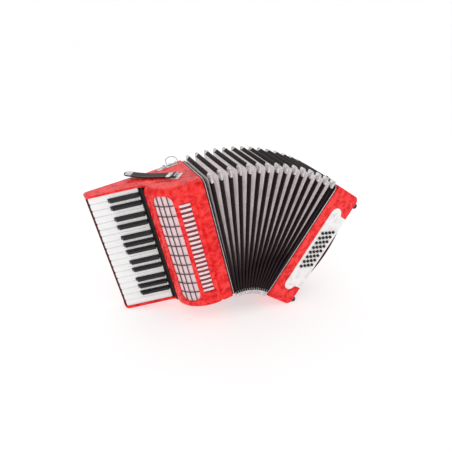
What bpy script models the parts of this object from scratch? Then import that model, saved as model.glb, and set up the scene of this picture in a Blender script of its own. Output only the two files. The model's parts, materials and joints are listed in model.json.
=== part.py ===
"""A 30 key, 32 bass piano accordion, standing fanned open on the lower outer edges of its two boxes.

Frames: the fan frame has its origin at the apex where the planes of all bellows folds meet, +X towards
the bass, -Y towards the front, +Z up. The treble frame and the bass frame sit on the lower edge of their
box, in the plane of the bellows: +X towards the bass, +Z up along the box. The key frame lies on the
key axle: +X out along a key, +Y out of the key's face, +Z up along the keyboard.
"""
import math
import bmesh
import bpy
from mathutils import Matrix, Vector

# --- driving dimensions, metres and degrees -------------------------------------------------------------
GAP = 0.0003                # clearance between pieces that touch
BOX_HEIGHT = 0.332          # treble box and bass box, along the keyboard
HALF_DEPTH = 0.078          # half of the depth of the boxes, front to back
PIVOT_RADIUS = 0.100        # apex of the fan to the lower edge of the boxes
FAN_ANGLE = 48.5            # between the bellows planes of the two boxes
CREST_COUNT = 15            # folds of the bellows
CREST_OUTSET = 0.004        # how far a crest stands proud of the boxes
FOLD_CRESTS = (1, 4, 7, 10, 13)     # the crests that carry a rigid fold body
FOLD_HALF_THICKNESS = 0.0080
KEYBOARD_CORNER = 0.010     # rounding of the outer corners of the keyboard bed, which meet the floor
BASS_CORNER = 0.014         # rounding of the outer corners of the bass box, which meet the floor
FRAME_THICKNESS = 0.008     # wooden end frame of the bellows
WALL = 0.005

TREBLE_WIDTH = 0.256        # bellows plane to the outer ends of the keyboard cheeks
CASING_WIDTH = 0.116        # bellows plane to the keyboard side of the casing
SEAM_Y = 0.0014             # where the grille cover meets the casing
GRILLE_START = 0.035        # bellows plane to the start of the grille's curve
GRILLE_HALF_AXES = (0.095, HALF_DEPTH)
GRILLE_WALL = 0.003

KEY_TILT = 20.0             # the keyboard leans back from the front plane
KEY_PITCH = 0.0178
WHITE_NAMES = "GABCDEFGABCDEFGABC"
BLACK_OFFSETS = {"C": -0.13, "D": 0.13, "F": -0.16, "G": 0.0, "A": 0.16}    # of a pitch, towards high notes
AXLE = (-0.112, 0.022)      # key axle in the treble frame, x and y
AXLE_RADIUS = 0.0015
KEY_START = 0.022           # axle to the inner end of the visible key
WHITE_END = 0.146           # axle to the outer end of a white key
BLACK_END = 0.0995
KEY_TOP = 0.007             # face of a white key above the axle
KEY_BOTTOM = -0.005
BLACK_TOP = 0.0155
BLACK_WIDTH = 0.0096
CHEEK = 0.0055              # thickness of the keyboard's end cheeks

BASS_WIDTH = 0.094
BASS_FRONT_TURN = 6.2       # the bass front runs back towards its outer edge
COVER_THICKNESS = 0.003
BUTTON_ROWS = (0.0485, 0.0585, 0.0685, 0.0785)   # along the bass front, from the bellows plane
BUTTON_COLUMNS = 8
BUTTON_PITCH = 0.0144
BUTTON_FIRST = 0.108
BUTTON_SLANT = 0.0052       # rise from one row to the next
BUTTON_RADIUS = 0.0036
PANEL_MIDDLE = 0.161
PANEL_THICKNESS = 0.002

STRAP_SKEW = 45.0           # the unfastened top strap lies askew on the treble box
STRAP_LENGTH = 0.140
STRAP_WIDTH = 0.022
STRAP_THICKNESS = 0.0026

# --- colours --------------------------------------------------------------------------------------------
RED = (0.62, 0.012, 0.02)
FINISHES = {
    "red_celluloid": (RED, 0.22, 0.0),
    "white_key": ((0.86, 0.85, 0.82), 0.2, 0.0),
    "black_key": ((0.012, 0.012, 0.013), 0.2, 0.0),
    "bellows": ((0.03, 0.027, 0.028), 0.6, 0.0),
    "metal": ((0.75, 0.75, 0.76), 0.28, 1.0),
    "leather": ((0.02, 0.015, 0.015), 0.55, 0.0),
    "maroon_leather": ((0.09, 0.012, 0.016), 0.55, 0.0),
    "cloth": ((0.82, 0.62, 0.64), 0.8, 0.0),
    "white_panel": ((0.85, 0.82, 0.82), 0.3, 0.0),
    "wood": ((0.55, 0.38, 0.2), 0.6, 0.0),
}


def clear_scene():
    for obj in list(bpy.data.objects):
        bpy.data.objects.remove(obj, do_unlink=True)


def finish_material(finish):
    """One material for each finish, made when it is first asked for."""
    found = bpy.data.materials.get(finish)
    if found:
        return found
    colour, roughness, metallic = FINISHES[finish]
    made = bpy.data.materials.new(finish)
    made.use_nodes = True
    shader = made.node_tree.nodes["Principled BSDF"]
    shader.inputs["Base Color"].default_value = (*colour, 1.0)
    shader.inputs["Roughness"].default_value = roughness
    shader.inputs["Metallic"].default_value = metallic
    return made


# --- outlines -------------------------------------------------------------------------------------------
def arc(centre, radius, start, end, steps):
    """Points on a circle from start to end, in degrees."""
    turns = [math.radians(start + (end - start) * i / steps) for i in range(steps + 1)]
    return [(centre[0] + radius * math.cos(a), centre[1] + radius * math.sin(a)) for a in turns]


def rectangle(x0, y0, x1, y1):
    return [(x0, y0), (x1, y0), (x1, y1), (x0, y1)]


def rounded_rectangle(x0, y0, x1, y1, radius):
    points = arc((x1 - radius, y0 + radius), radius, -90, 0, 4)
    points += arc((x1 - radius, y1 - radius), radius, 0, 90, 4)
    points += arc((x0 + radius, y1 - radius), radius, 90, 180, 4)
    return points + arc((x0 + radius, y0 + radius), radius, 180, 270, 4)


def ribbon(path, thickness):
    """The outline of a strip of constant thickness along a path."""
    left = []
    right = []
    for i, here in enumerate(path):
        before = Vector(path[max(i - 1, 0)])
        after = Vector(path[min(i + 1, len(path) - 1)])
        along = (after - before).normalized()
        side = Vector((-along.y, along.x)) * thickness / 2
        left.append(tuple(Vector(here) + side))
        right.append(tuple(Vector(here) - side))
    return left + right[::-1]


# --- solids ---------------------------------------------------------------------------------------------
ALONG_Z = Matrix.Identity(4)
ALONG_Y = Matrix(((1, 0, 0, 0), (0, 0, -1, 0), (0, 1, 0, 0), (0, 0, 0, 1)))     # outline (x, z), height -y
ALONG_X = Matrix(((0, 0, 1, 0), (1, 0, 0, 0), (0, 1, 0, 0), (0, 0, 0, 1)))      # outline (y, z), height x


def prism(loops, low, high, turn=ALONG_Z):
    """Extrudes an outline, with holes where more loops are given."""
    bm = bmesh.new()
    edges = []
    for loop in loops:
        verts = [bm.verts.new((a, b, low)) for a, b in loop]
        edges += [bm.edges.new((verts[i - 1], verts[i])) for i in range(len(verts))]
        if len(loops) == 1:
            bm.faces.new(verts)
    if len(loops) > 1:
        bmesh.ops.triangle_fill(bm, edges=edges, use_beauty=True)
    grown = bmesh.ops.extrude_face_region(bm, geom=bm.faces[:])
    moved = [item for item in grown["geom"] if isinstance(item, bmesh.types.BMVert)]
    bmesh.ops.translate(bm, vec=(0, 0, high - low), verts=moved)
    bmesh.ops.transform(bm, matrix=turn, verts=bm.verts[:])
    bmesh.ops.recalc_face_normals(bm, faces=bm.faces[:])
    return bm


def block(low, high):
    return prism([rectangle(low[0], low[1], high[0], high[1])], low[2], high[2])


def disc(centre, radius, low, high, turn=ALONG_Z, sides=16):
    return prism([arc(centre, radius, 0, 360 - 360 / sides, sides - 1)], low, high, turn)


def merged(*meshes):
    """Several meshes in one bmesh, still separate bodies."""
    result = bmesh.new()
    for bm in meshes:
        scratch = bpy.data.meshes.new("scratch")
        bm.to_mesh(scratch)
        result.from_mesh(scratch)
        bpy.data.meshes.remove(scratch)
    return result


def bevel_edges(bm, chosen, width, segments=3):
    edges = [edge for edge in bm.edges if chosen(edge.verts[0].co, edge.verts[1].co)]
    bmesh.ops.bevel(bm, geom=edges, offset=width, segments=segments, profile=0.5, affect="EDGES")


def make_object(name, bm, parent):
    mesh = bpy.data.meshes.new(name)
    bm.to_mesh(mesh)
    bm.free()
    obj = bpy.data.objects.new(name, mesh)
    bpy.context.collection.objects.link(obj)
    obj.parent = parent
    return obj


def piece(name, bm, parent, finish, origin=(0.0, 0.0, 0.0), smooth=30.0):
    """A named sub-part: its mesh is given in the parent's frame, its origin is moved to `origin`."""
    bmesh.ops.translate(bm, vec=-Vector(origin), verts=bm.verts[:])
    obj = make_object(name, bm, parent)
    obj.location = origin
    obj.data.materials.append(finish_material(finish))
    obj.data.shade_smooth()
    obj.data.set_sharp_from_angle(angle=math.radians(smooth))
    return obj


def combine(obj, tool, operation):
    """Adds or cuts a tool whose mesh is given in the frame of the object's parent."""
    cutter = make_object(f"{obj.name}_{operation.lower()}", tool, obj.parent)
    cutter.hide_render = True
    cutter.display_type = "WIRE"
    modifier = obj.modifiers.new(operation.title(), "BOOLEAN")
    modifier.operation = operation
    modifier.solver = "EXACT"
    modifier.object = cutter
    return obj


def frame(name, parent, location, rotation=(0.0, 0.0, 0.0)):
    empty = bpy.data.objects.new(name, None)
    bpy.context.collection.objects.link(empty)
    empty.parent = parent
    empty.location = location
    empty.rotation_euler = rotation
    return empty


# --- how the instrument stands --------------------------------------------------------------------------
def treble_lean():
    """Angle that puts the lower outer corners of both boxes on one level, in radians."""
    out = TREBLE_WIDTH - KEYBOARD_CORNER
    up = PIVOT_RADIUS + KEYBOARD_CORNER
    bass_out = BASS_WIDTH - BASS_CORNER
    bass_up = PIVOT_RADIUS + BASS_CORNER
    fan = math.radians(FAN_ANGLE)
    level = up - bass_up * math.cos(fan) + bass_out * math.sin(fan)
    across = out + bass_up * math.sin(fan) + bass_out * math.cos(fan)
    drop = KEYBOARD_CORNER - BASS_CORNER
    return math.acos(drop / math.hypot(level, across)) - math.atan2(across, level)


def crest_angle(index):
    """Lean of a crest in the fan frame, positive towards the bass, in radians."""
    step = math.radians(FAN_ANGLE) / CREST_COUNT
    return (index + 0.5) * step - treble_lean()


def on_fan(angle, radius):
    return (radius * math.sin(angle), 0.0, radius * math.cos(angle))


# --- treble side ----------------------------------------------------------------------------------------
def grille_arc(inset, start, end, steps):
    """Points of the grille's elliptic curve, from the bellows side to the keyboard side."""
    across = GRILLE_HALF_AXES[0] - inset
    deep = GRILLE_HALF_AXES[1] - inset
    turns = [math.radians(start + (end - start) * i / steps) for i in range(steps + 1)]
    return [(-GRILLE_START - across * math.sin(a), -deep * math.cos(a)) for a in turns]


def bellows_end_frame(name, parent, x0):
    """Wooden ring that closes an end of the bellows against its box."""
    inset = 0.0015
    rim = 0.020
    outer = rounded_rectangle(inset - HALF_DEPTH, inset, HALF_DEPTH - inset, BOX_HEIGHT - inset, 0.0065)
    inner = rectangle(rim - HALF_DEPTH, rim, HALF_DEPTH - rim, BOX_HEIGHT - rim)
    bm = prism([outer, inner], x0, x0 + FRAME_THICKNESS - GAP, ALONG_X)
    return piece(name, bm, parent, "wood")


def treble_body(parent):
    """Casing: back wall, ends and a wall on the keyboard side below the keys."""
    side = -FRAME_THICKNESS - GAP
    bm = block((-CASING_WIDTH, SEAM_Y + GAP, 0), (side, HALF_DEPTH, BOX_HEIGHT))
    bevel_edges(bm, lambda a, b: min(a.y, b.y) > HALF_DEPTH - 1e-5 and abs(a.z - b.z) < 1e-6, 0.006)
    casing = piece("treble_body", bm, parent, "red_celluloid")
    chamber = [
        (WALL - CASING_WIDTH, -0.01), (side - WALL, -0.01), (side - WALL, 0.030),
        (0.01, 0.030), (0.01, HALF_DEPTH - WALL), (WALL - CASING_WIDTH, HALF_DEPTH - WALL),
    ]
    combine(casing, prism([chamber], WALL + 0.001, BOX_HEIGHT - WALL - 0.001), "DIFFERENCE")
    slot = block((-CASING_WIDTH - 0.01, -0.01, WALL + 0.0012), (-0.1, 0.036, BOX_HEIGHT - WALL - 0.0012))
    return combine(casing, slot, "DIFFERENCE")


def treble_grille(parent):
    """Curved front cover over the key levers, with a long window."""
    side = -FRAME_THICKNESS - GAP
    curve = grille_arc(0, 0, 90, 14)
    outer = [(side, SEAM_Y), (side, -HALF_DEPTH)] + curve + [(curve[-1][0], SEAM_Y)]
    bm = prism([outer], 0, BOX_HEIGHT)

    def on_end(a, b):
        level = abs(a.z - b.z) < 1e-6
        return level and min(a.y, b.y) < SEAM_Y - 1e-4 and min(a.x, b.x) < side - 1e-4
    bevel_edges(bm, on_end, 0.008, segments=4)
    cover = piece("treble_grille", bm, parent, "red_celluloid")
    inner_curve = grille_arc(GRILLE_WALL, 0, 90, 14)
    hollow = [(side - GRILLE_WALL, 0.01), (side - GRILLE_WALL, GRILLE_WALL - HALF_DEPTH)] + inner_curve
    hollow.append((inner_curve[-1][0], 0.01))
    combine(cover, prism([hollow], WALL, BOX_HEIGHT - WALL), "DIFFERENCE")
    return combine(cover, grille_window(), "DIFFERENCE")


def grille_window():
    """Cutter for the window: a slot with round ends, square to the curve at its middle."""
    middle = math.radians(48)
    across, deep = GRILLE_HALF_AXES
    centre = (-GRILLE_START - across * math.sin(middle), -deep * math.cos(middle), 0)
    outward = Vector((-math.sin(middle) / across, -math.cos(middle) / deep, 0)).normalized()
    turn = Matrix((outward.cross((0, 0, 1)), (0, 0, 1), outward)).transposed().to_4x4()
    half_width = 0.0200
    low, high = 0.022 + half_width, 0.310 - half_width
    slot = arc((0, high), half_width, 0, 180, 8) + arc((0, low), half_width, 180, 360, 8)
    return prism([slot], -0.012, 0.012, Matrix.Translation(centre) @ turn)


def grille_cloth(parent):
    """Stiffened cloth behind the window, following the curve."""
    front = grille_arc(GRILLE_WALL + GAP, 24, 72, 8)
    back = grille_arc(GRILLE_WALL + GAP + 0.0012, 24, 72, 8)
    return piece("grille_cloth", prism([front + back[::-1]], 0.012, BOX_HEIGHT - 0.012), parent, "cloth")


def key_to_treble(u, v):
    tilt = math.radians(KEY_TILT)
    x = AXLE[0] - u * math.cos(tilt) - v * math.sin(tilt)
    return (x, AXLE[1] + u * math.sin(tilt) - v * math.cos(tilt))


def treble_to_key(x, y):
    tilt = math.radians(KEY_TILT)
    dx = x - AXLE[0]
    dy = y - AXLE[1]
    return (dy * math.sin(tilt) - dx * math.cos(tilt), -dx * math.sin(tilt) - dy * math.cos(tilt))


def keyboard_bed(parent):
    """Wedge behind the keys with a cheek at each end; its lower outer corner meets the floor."""
    inner = -CASING_WIDTH - GAP
    wedge = [(inner, 0.0369), key_to_treble(0.150, -0.0125), (-0.252, 0.0862), (-0.252, 0.0930),
             (inner, HALF_DEPTH)]
    cheek = [(inner, 0.0020), key_to_treble(0.024, 0.010), key_to_treble(0.148, 0.010),
             (-TREBLE_WIDTH, 0.0625), (-TREBLE_WIDTH, 0.0935), (inner, HALF_DEPTH)]
    bed = piece("keyboard_bed", prism([wedge], CHEEK - 0.001, BOX_HEIGHT - CHEEK + 0.001), parent,
                "red_celluloid")
    low = prism([cheek], 0, CHEEK)
    high = prism([cheek], BOX_HEIGHT - CHEEK, BOX_HEIGHT)
    combine(bed, merged(low, high), "UNION")
    radius = KEYBOARD_CORNER
    waste = arc((radius - TREBLE_WIDTH, radius), radius, 180, 270, 5)
    waste += [(radius - TREBLE_WIDTH, -0.01), (-TREBLE_WIDTH - 0.01, -0.01), (-TREBLE_WIDTH - 0.01, radius)]
    top_waste = [(x, BOX_HEIGHT - z) for x, z in waste]
    cut = merged(prism([waste], -0.12, -0.04, ALONG_Y), prism([top_waste], -0.12, -0.04, ALONG_Y))
    return combine(bed, cut, "DIFFERENCE")


def white_centre(index):
    top = (BOX_HEIGHT + len(WHITE_NAMES) * KEY_PITCH) / 2
    return top - (index + 0.5) * KEY_PITCH


def black_centre(index):
    """Centre of the black key below white key `index`; notes rise downwards."""
    return white_centre(index) - KEY_PITCH * (0.5 + BLACK_OFFSETS[WHITE_NAMES[index]])


def has_black_below(index):
    return index < len(WHITE_NAMES) - 1 and WHITE_NAMES[index] in BLACK_OFFSETS


def key_lever(height):
    """Lever behind a key: neck, bored hub on the axle, arm and pallet block; outline in the key frame."""
    hub = 0.0045
    pallet = [treble_to_key(x, y) for x, y in ((-0.084, 0.0125), (-0.084, 0.0232), (-0.072, 0.0232))]
    top = arc((0, 0), hub, 42, 161, 5)
    under = arc((0, 0), hub, 206, 297, 4)
    tip = treble_to_key(-0.072, 0.0070)
    outline = [(0.030, 0.0030)] + top + [tip] + pallet[::-1] + under + [(0.030, -0.0040)]
    bore = arc((0, 0), AXLE_RADIUS + 0.0004, 0, 324, 9)
    return prism([outline, bore], height - 0.003, height + 0.003)


def white_key(index, parent):
    centre = white_centre(index)
    half = KEY_PITCH / 2 - 0.00025
    gap = BLACK_WIDTH / 2 + 0.0007
    above = centre + half
    below = centre - half
    if index > 0 and has_black_below(index - 1):
        above = black_centre(index - 1) - gap
    if has_black_below(index):
        below = black_centre(index) + gap
    notch = BLACK_END + 0.001
    outline = [(WHITE_END, centre - half), (WHITE_END, centre + half), (notch, centre + half)]
    if above < centre + half:
        outline.append((notch, above))
    outline += [(KEY_START, above), (KEY_START, below)]
    if below > centre - half:
        outline.append((notch, below))
    outline.append((notch, centre - half))
    bm = prism([outline], -KEY_TOP, -KEY_BOTTOM, ALONG_Y)
    lever_height = (above + below) / 2
    key = piece(f"white_key_{index + 1:02d}", bm, parent, "white_key", (0, 0, lever_height))
    return combine(key, key_lever(lever_height), "UNION")


def black_key(number, index, parent):
    """A black key: straight below, tapered above the white keys."""
    centre = black_centre(index)
    bm = prism([rectangle(KEY_START, centre - BLACK_WIDTH / 2, BLACK_END, centre + BLACK_WIDTH / 2)],
               -BLACK_TOP, -KEY_BOTTOM, ALONG_Y)
    bmesh.ops.bisect_plane(bm, geom=bm.verts[:] + bm.edges[:] + bm.faces[:],
                           plane_co=(0, KEY_TOP, 0), plane_no=(0, 1, 0))
    for vert in bm.verts:
        if vert.co.y > KEY_TOP + 1e-5:
            vert.co.z += 0.0009 if vert.co.z < centre else -0.0009
            if vert.co.x > BLACK_END - 1e-5:
                vert.co.x -= 0.005
    key = piece(f"black_key_{number:02d}", bm, parent, "black_key", (0, 0, centre))
    return combine(key, key_lever(centre), "UNION")


def keyboard(parent):
    blacks = [i for i in range(len(WHITE_NAMES)) if has_black_below(i)]
    for index in range(len(WHITE_NAMES)):
        white_key(index, parent)
    for number, index in enumerate(blacks, start=1):
        black_key(number, index, parent)
    end = WALL + 0.001 + GAP
    piece("key_axle", disc((0, 0), AXLE_RADIUS, end, BOX_HEIGHT - end, sides=12), parent, "metal")


def lever_heights():
    """Heights of all key levers, for the holes that their pallets cover."""
    heights = []
    for index in range(len(WHITE_NAMES)):
        half = KEY_PITCH / 2 - 0.00025
        gap = BLACK_WIDTH / 2 + 0.0007
        above = white_centre(index) + half
        below = white_centre(index) - half
        if index > 0 and has_black_below(index - 1):
            above = black_centre(index - 1) - gap
        if has_black_below(index):
            below = black_centre(index) + gap
            heights.append(black_centre(index))
        heights.append((above + below) / 2)
    return heights


def treble_insides(parent):
    """Pallet board with one air hole under each pallet, and the reed block behind it."""
    end = WALL + 0.001 + GAP
    board = rectangle(-0.104, end, -0.0136, BOX_HEIGHT - end)
    holes = [rectangle(-0.0825, z - 0.0018, -0.0735, z + 0.0018) for z in lever_heights()]
    bm = prism([board] + holes, -0.0297, -0.0235, ALONG_Y)
    piece("treble_soundboard", bm, parent, "wood")
    reeds = [(-0.098, 0.030), (-0.022, 0.030), (-0.034, 0.062), (-0.086, 0.062)]
    piece("treble_reed_block", prism([reeds], 0.020, BOX_HEIGHT - 0.020), parent, "wood")


def top_strap(parent):
    """Bellows strap that lies unfastened on the treble box, and its metal anchor."""
    axis_point = Vector((-0.047, -0.010, BOX_HEIGHT + 0.0060))
    skew = math.radians(STRAP_SKEW)
    lying = Vector((-math.cos(skew), math.sin(skew), 0))
    fastened = Vector((1, 0, 0))
    swing = math.atan2(*(lying + fastened).xy)
    hinge = frame("top_strap_hinge", parent, axis_point, (0, 0, -swing))
    lean = skew - swing
    along = Matrix.Rotation(-lean, 4, "Z")
    rest = -0.0060 + 0.0017 + GAP + STRAP_THICKNESS / 2
    path = [(0, 0), (-0.004, -0.0006), (-0.011, rest + 0.0008), (-0.018, rest), (-0.072, rest)]
    path += [(-0.096, rest + 0.0020), (-0.118, rest + 0.0056), (-STRAP_LENGTH, rest + 0.0100)]
    bm = prism([ribbon(path, STRAP_THICKNESS)], -STRAP_WIDTH / 2, STRAP_WIDTH / 2, along @ ALONG_Y)
    piece("top_bellows_strap", bm, hinge, "leather", smooth=40)
    place = Matrix.Translation((axis_point.x, axis_point.y, 0)) @ Matrix.Rotation(-skew, 4, "Z")
    base = prism([rectangle(-0.010, -0.010, 0.011, 0.010)], BOX_HEIGHT + GAP, BOX_HEIGHT + 0.0015, place)
    anchor = piece("top_strap_anchor", base, parent, "metal")
    stop = prism([rectangle(0.004, -0.009, 0.010, 0.009)], BOX_HEIGHT + 0.001, BOX_HEIGHT + 0.0040, place)
    combine(anchor, stop, "UNION")


def shoulder_loop(name, parent, x, z, up, lean_back):
    """Wire loop for a shoulder strap, seen leaning back by an angle; it swings about its straight side."""
    half = 0.014
    straight = 0.0094
    hinge = frame(f"{name}_hinge", parent, (x, 0.064, z), (math.radians(-lean_back), 0, 0))
    path = [(-half, 0), (half, 0), (half, straight)] + arc((0, straight), half, 20, 160, 6)
    path.append((-half, straight))
    curve = bpy.data.curves.new(name, "CURVE")
    curve.dimensions = "3D"
    curve.bevel_depth = 0.0014
    curve.bevel_resolution = 1
    spline = curve.splines.new("POLY")
    spline.points.add(len(path) - 1)
    for point, (a, b) in zip(spline.points, path):
        point.co = (a, 0, b * up, 1)
    spline.use_cyclic_u = True
    loop = bpy.data.objects.new(name, curve)
    bpy.context.collection.objects.link(loop)
    loop.parent = hinge
    curve.materials.append(finish_material("metal"))


def treble_side(fan, lean):
    place = on_fan(-lean, PIVOT_RADIUS)
    treble = frame("treble_frame", fan, place, (0, -lean, 0))
    bellows_end_frame("treble_bellows_frame", treble, -FRAME_THICKNESS)
    treble_body(treble)
    treble_grille(treble)
    grille_cloth(treble)
    keyboard_bed(treble)
    treble_insides(treble)
    keys = frame("key_frame", treble, (*AXLE, 0), (0, 0, math.pi - math.radians(KEY_TILT)))
    keyboard(keys)
    top_strap(treble)
    shoulder_loop("shoulder_loop_top", treble, -0.031, BOX_HEIGHT + 0.0022, 1, 62)
    shoulder_loop("shoulder_loop_bottom", treble, -0.070, -0.0022, -1, 0)


# --- bellows --------------------------------------------------------------------------------------------
def fold_ring():
    """Three pressed folds as one ring: a zigzag section carried round the rectangle of the bellows."""
    crest = CREST_OUTSET
    valley = -0.006
    t = FOLD_HALF_THICKNESS
    side = t * 2 / 3            # centre plane of an outer fold
    section = [(-t, -0.003), (-side, crest), (-side / 2, valley), (0, crest), (side / 2, valley),
               (side, crest), (t, -0.003), (t, -0.016), (-t, -0.016)]
    bm = bmesh.new()
    rings = []
    for x, out in section:
        y = HALF_DEPTH + out
        corners = ((-y, -out), (y, -out), (y, BOX_HEIGHT + out), (-y, BOX_HEIGHT + out))
        rings.append([bm.verts.new((x, a, b)) for a, b in corners])
    for i, ring in enumerate(rings):
        before = rings[i - 1]
        for k in range(4):
            bm.faces.new((before[k - 1], before[k], ring[k], ring[k - 1]))
    bmesh.ops.recalc_face_normals(bm, faces=bm.faces[:])
    return bm


def bellows(fan, lean):
    before = -lean
    for number, crest in enumerate(FOLD_CRESTS, start=1):
        angle = crest_angle(crest)
        middle = (before + angle) / 2
        hinge = frame(f"bellows_hinge_{number}", fan, on_fan(middle, PIVOT_RADIUS))
        fold = make_object(f"bellows_fold_{number}", fold_ring(), hinge)
        fold.location = Vector(on_fan(angle, PIVOT_RADIUS)) - hinge.location
        fold.rotation_euler = (0, angle, 0)
        fold.data.materials.append(finish_material("bellows"))
        before = angle
    end = math.radians(FAN_ANGLE) - lean
    frame("bellows_hinge_6", fan, on_fan((before + end) / 2, PIVOT_RADIUS))


def bottom_strap(fan, lean):
    """Fastened strap that holds the lower side of the bellows closed, running from box to box."""
    radius = PIVOT_RADIUS - CREST_OUTSET - 0.0022
    first = -lean
    last = first + math.radians(FAN_ANGLE)
    path = []
    for tab_x, tab_angle in ((-0.034, first), (-0.016, first), (0.016, last), (0.034, last)):
        spot = Vector(on_fan(tab_angle, PIVOT_RADIUS - 0.0018))
        out = Vector((math.cos(tab_angle), 0, -math.sin(tab_angle)))
        path.append((spot + out * tab_x).xz)
    run = [first + 0.02 + (last - first - 0.04) * i / 16 for i in range(17)]
    middle = [Vector(on_fan(angle, radius)).xz for angle in run]
    line = [tuple(p) for p in path[:2] + middle + path[2:]]
    bm = prism([ribbon(line, 0.0020)], -0.011, 0.011, ALONG_Y)
    piece("bottom_bellows_strap", bm, fan, "leather", smooth=40)


# --- bass side ------------------------------------------------------------------------------------------
def bass_front():
    """Frame matrix of the bass front: x along the face, y up the box, z out of the face."""
    angle = math.radians(BASS_FRONT_TURN)
    along = Vector((math.cos(angle), math.sin(angle), 0))
    outward = Vector((math.sin(angle), -math.cos(angle), 0))
    turn = Matrix((along, (0, 0, 1), outward)).transposed().to_4x4()
    return Matrix.Translation((0, -HALF_DEPTH, 0)) @ turn


def bass_outline(x0, x1, inset=0.0):
    """Plan of the bass box between two widths, its front face running back."""
    slope = math.tan(math.radians(BASS_FRONT_TURN))
    front = inset - HALF_DEPTH
    back = HALF_DEPTH - inset
    return [(x0, front + x0 * slope), (x1, front + x1 * slope), (x1, back), (x0, back)]


def bass_corner_waste():
    """Cutter that rounds the outer corners of the bass box, seen from the front."""
    inner = BASS_WIDTH - BASS_CORNER
    corner = arc((inner, BASS_CORNER), BASS_CORNER, -90, 0, 6)
    low = [(inner, -0.01)] + corner + [(BASS_WIDTH + 0.01, BASS_CORNER), (BASS_WIDTH + 0.01, -0.01)]
    high = [(x, BOX_HEIGHT - z) for x, z in low]
    return merged(prism([low], -0.1, 0.1, ALONG_Y), prism([high], -0.1, 0.1, ALONG_Y))


def bass_body(parent):
    edge = BASS_WIDTH - COVER_THICKNESS - GAP
    body = piece("bass_body", prism([bass_outline(FRAME_THICKNESS + GAP, edge)], 0, BOX_HEIGHT), parent,
                 "red_celluloid")
    combine(body, bass_corner_waste(), "DIFFERENCE")
    hollow = prism([bass_outline(-0.01, BASS_WIDTH - 0.016, WALL)], WALL, BOX_HEIGHT - WALL)
    combine(body, hollow, "DIFFERENCE")
    mouth = prism([bass_outline(BASS_WIDTH - 0.017, BASS_WIDTH + 0.01, WALL)], 0.0095, BOX_HEIGHT - 0.0095)
    combine(body, mouth, "DIFFERENCE")
    window = rectangle(0.0425, 0.100, 0.0845, 0.234)
    return combine(body, prism([window], -0.012, 0.004, bass_front()), "DIFFERENCE")


def bass_cover(parent):
    """Outer cover with its four feet, the wheel slot and the air button's hole."""
    inner = BASS_WIDTH - COVER_THICKNESS
    cover = piece("bass_cover", prism([bass_outline(inner, BASS_WIDTH)], 0, BOX_HEIGHT), parent,
                  "red_celluloid")
    combine(cover, bass_corner_waste(), "DIFFERENCE")
    feet = [disc((y, z), 0.005, BASS_WIDTH - 0.001, BASS_WIDTH + 0.009, ALONG_X, 12)
            for y in (-0.058, 0.058) for z in (0.016, BOX_HEIGHT - 0.022)]
    combine(cover, merged(*feet), "UNION")
    slot = block((inner - 0.01, -0.0100, BOX_HEIGHT - 0.0165), (BASS_WIDTH + 0.01, 0.0100,
                                                               BOX_HEIGHT - 0.0095))
    hole = disc((0.040, BOX_HEIGHT - 0.058), 0.0066, inner - 0.01, BASS_WIDTH + 0.01, ALONG_X)
    return combine(cover, merged(slot, hole), "DIFFERENCE")


def panel_outline():
    """Elongated panel: a lobe at each inner end, an ogee, then straight to the outer edge."""
    lobe = 0.0165
    reach = 0.123 - lobe
    upper = arc((0.0525, reach), lobe, 180, 25, 9)
    upper += arc((0.0755, reach + 0.0095), 0.0085, 195, 270, 5)
    upper.append((BASS_WIDTH - 0.001, reach + 0.001))
    lower = [(x, -z) for x, z in upper[::-1]]
    return [(x, PANEL_MIDDLE + z) for x, z in upper + lower]


def button_height(row, column):
    return BUTTON_FIRST + column * BUTTON_PITCH + row * BUTTON_SLANT


def bass_button_panel(parent):
    holes = [arc((x, button_height(row, column)), BUTTON_RADIUS + 0.0005, 0, 324, 9)
             for row, x in enumerate(BUTTON_ROWS) for column in range(BUTTON_COLUMNS)]
    bm = prism([panel_outline()] + holes, GAP, PANEL_THICKNESS + GAP, bass_front())
    return piece("bass_button_panel", bm, parent, "white_panel")


def bass_button_row(row, parent):
    """Eight buttons on a bar behind the panel; the row is pressed as one."""
    x = BUTTON_ROWS[row]
    place = bass_front()
    ends = (button_height(row, 0) - 0.004, button_height(row, BUTTON_COLUMNS - 1) + 0.004)
    bar = prism([rectangle(x - 0.0025, ends[0], x + 0.0025, ends[1])], -0.010, -0.006, place)
    buttons = [disc((x, button_height(row, column)), BUTTON_RADIUS, -0.008, 0.0068, place, 10)
               for column in range(BUTTON_COLUMNS)]
    origin = place @ Vector((x, (ends[0] + ends[1]) / 2, 0))
    made = piece(f"bass_button_row_{row + 1}", bar, parent, "black_key", origin)
    return combine(made, merged(*buttons), "UNION")


def bass_strap(parent):
    """Hand strap that bulges away from the outer cover."""
    flat = BASS_WIDTH + 0.0004 + 0.0015
    bulge = 0.027
    low, high = 0.024, BOX_HEIGHT - 0.030
    path = [(flat, low), (flat, low + 0.014)]
    steps = 18
    for i in range(1, steps):
        share = i / steps
        height = low + 0.014 + (high - low - 0.028) * share
        path.append((flat + bulge * math.sin(math.pi * share) ** 0.8, height))
    path += [(flat, high - 0.014), (flat, high)]
    bm = prism([ribbon(path, 0.003)], -0.034, 0.036, ALONG_Y)
    return piece("bass_strap", bm, parent, "maroon_leather", smooth=40)


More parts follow.
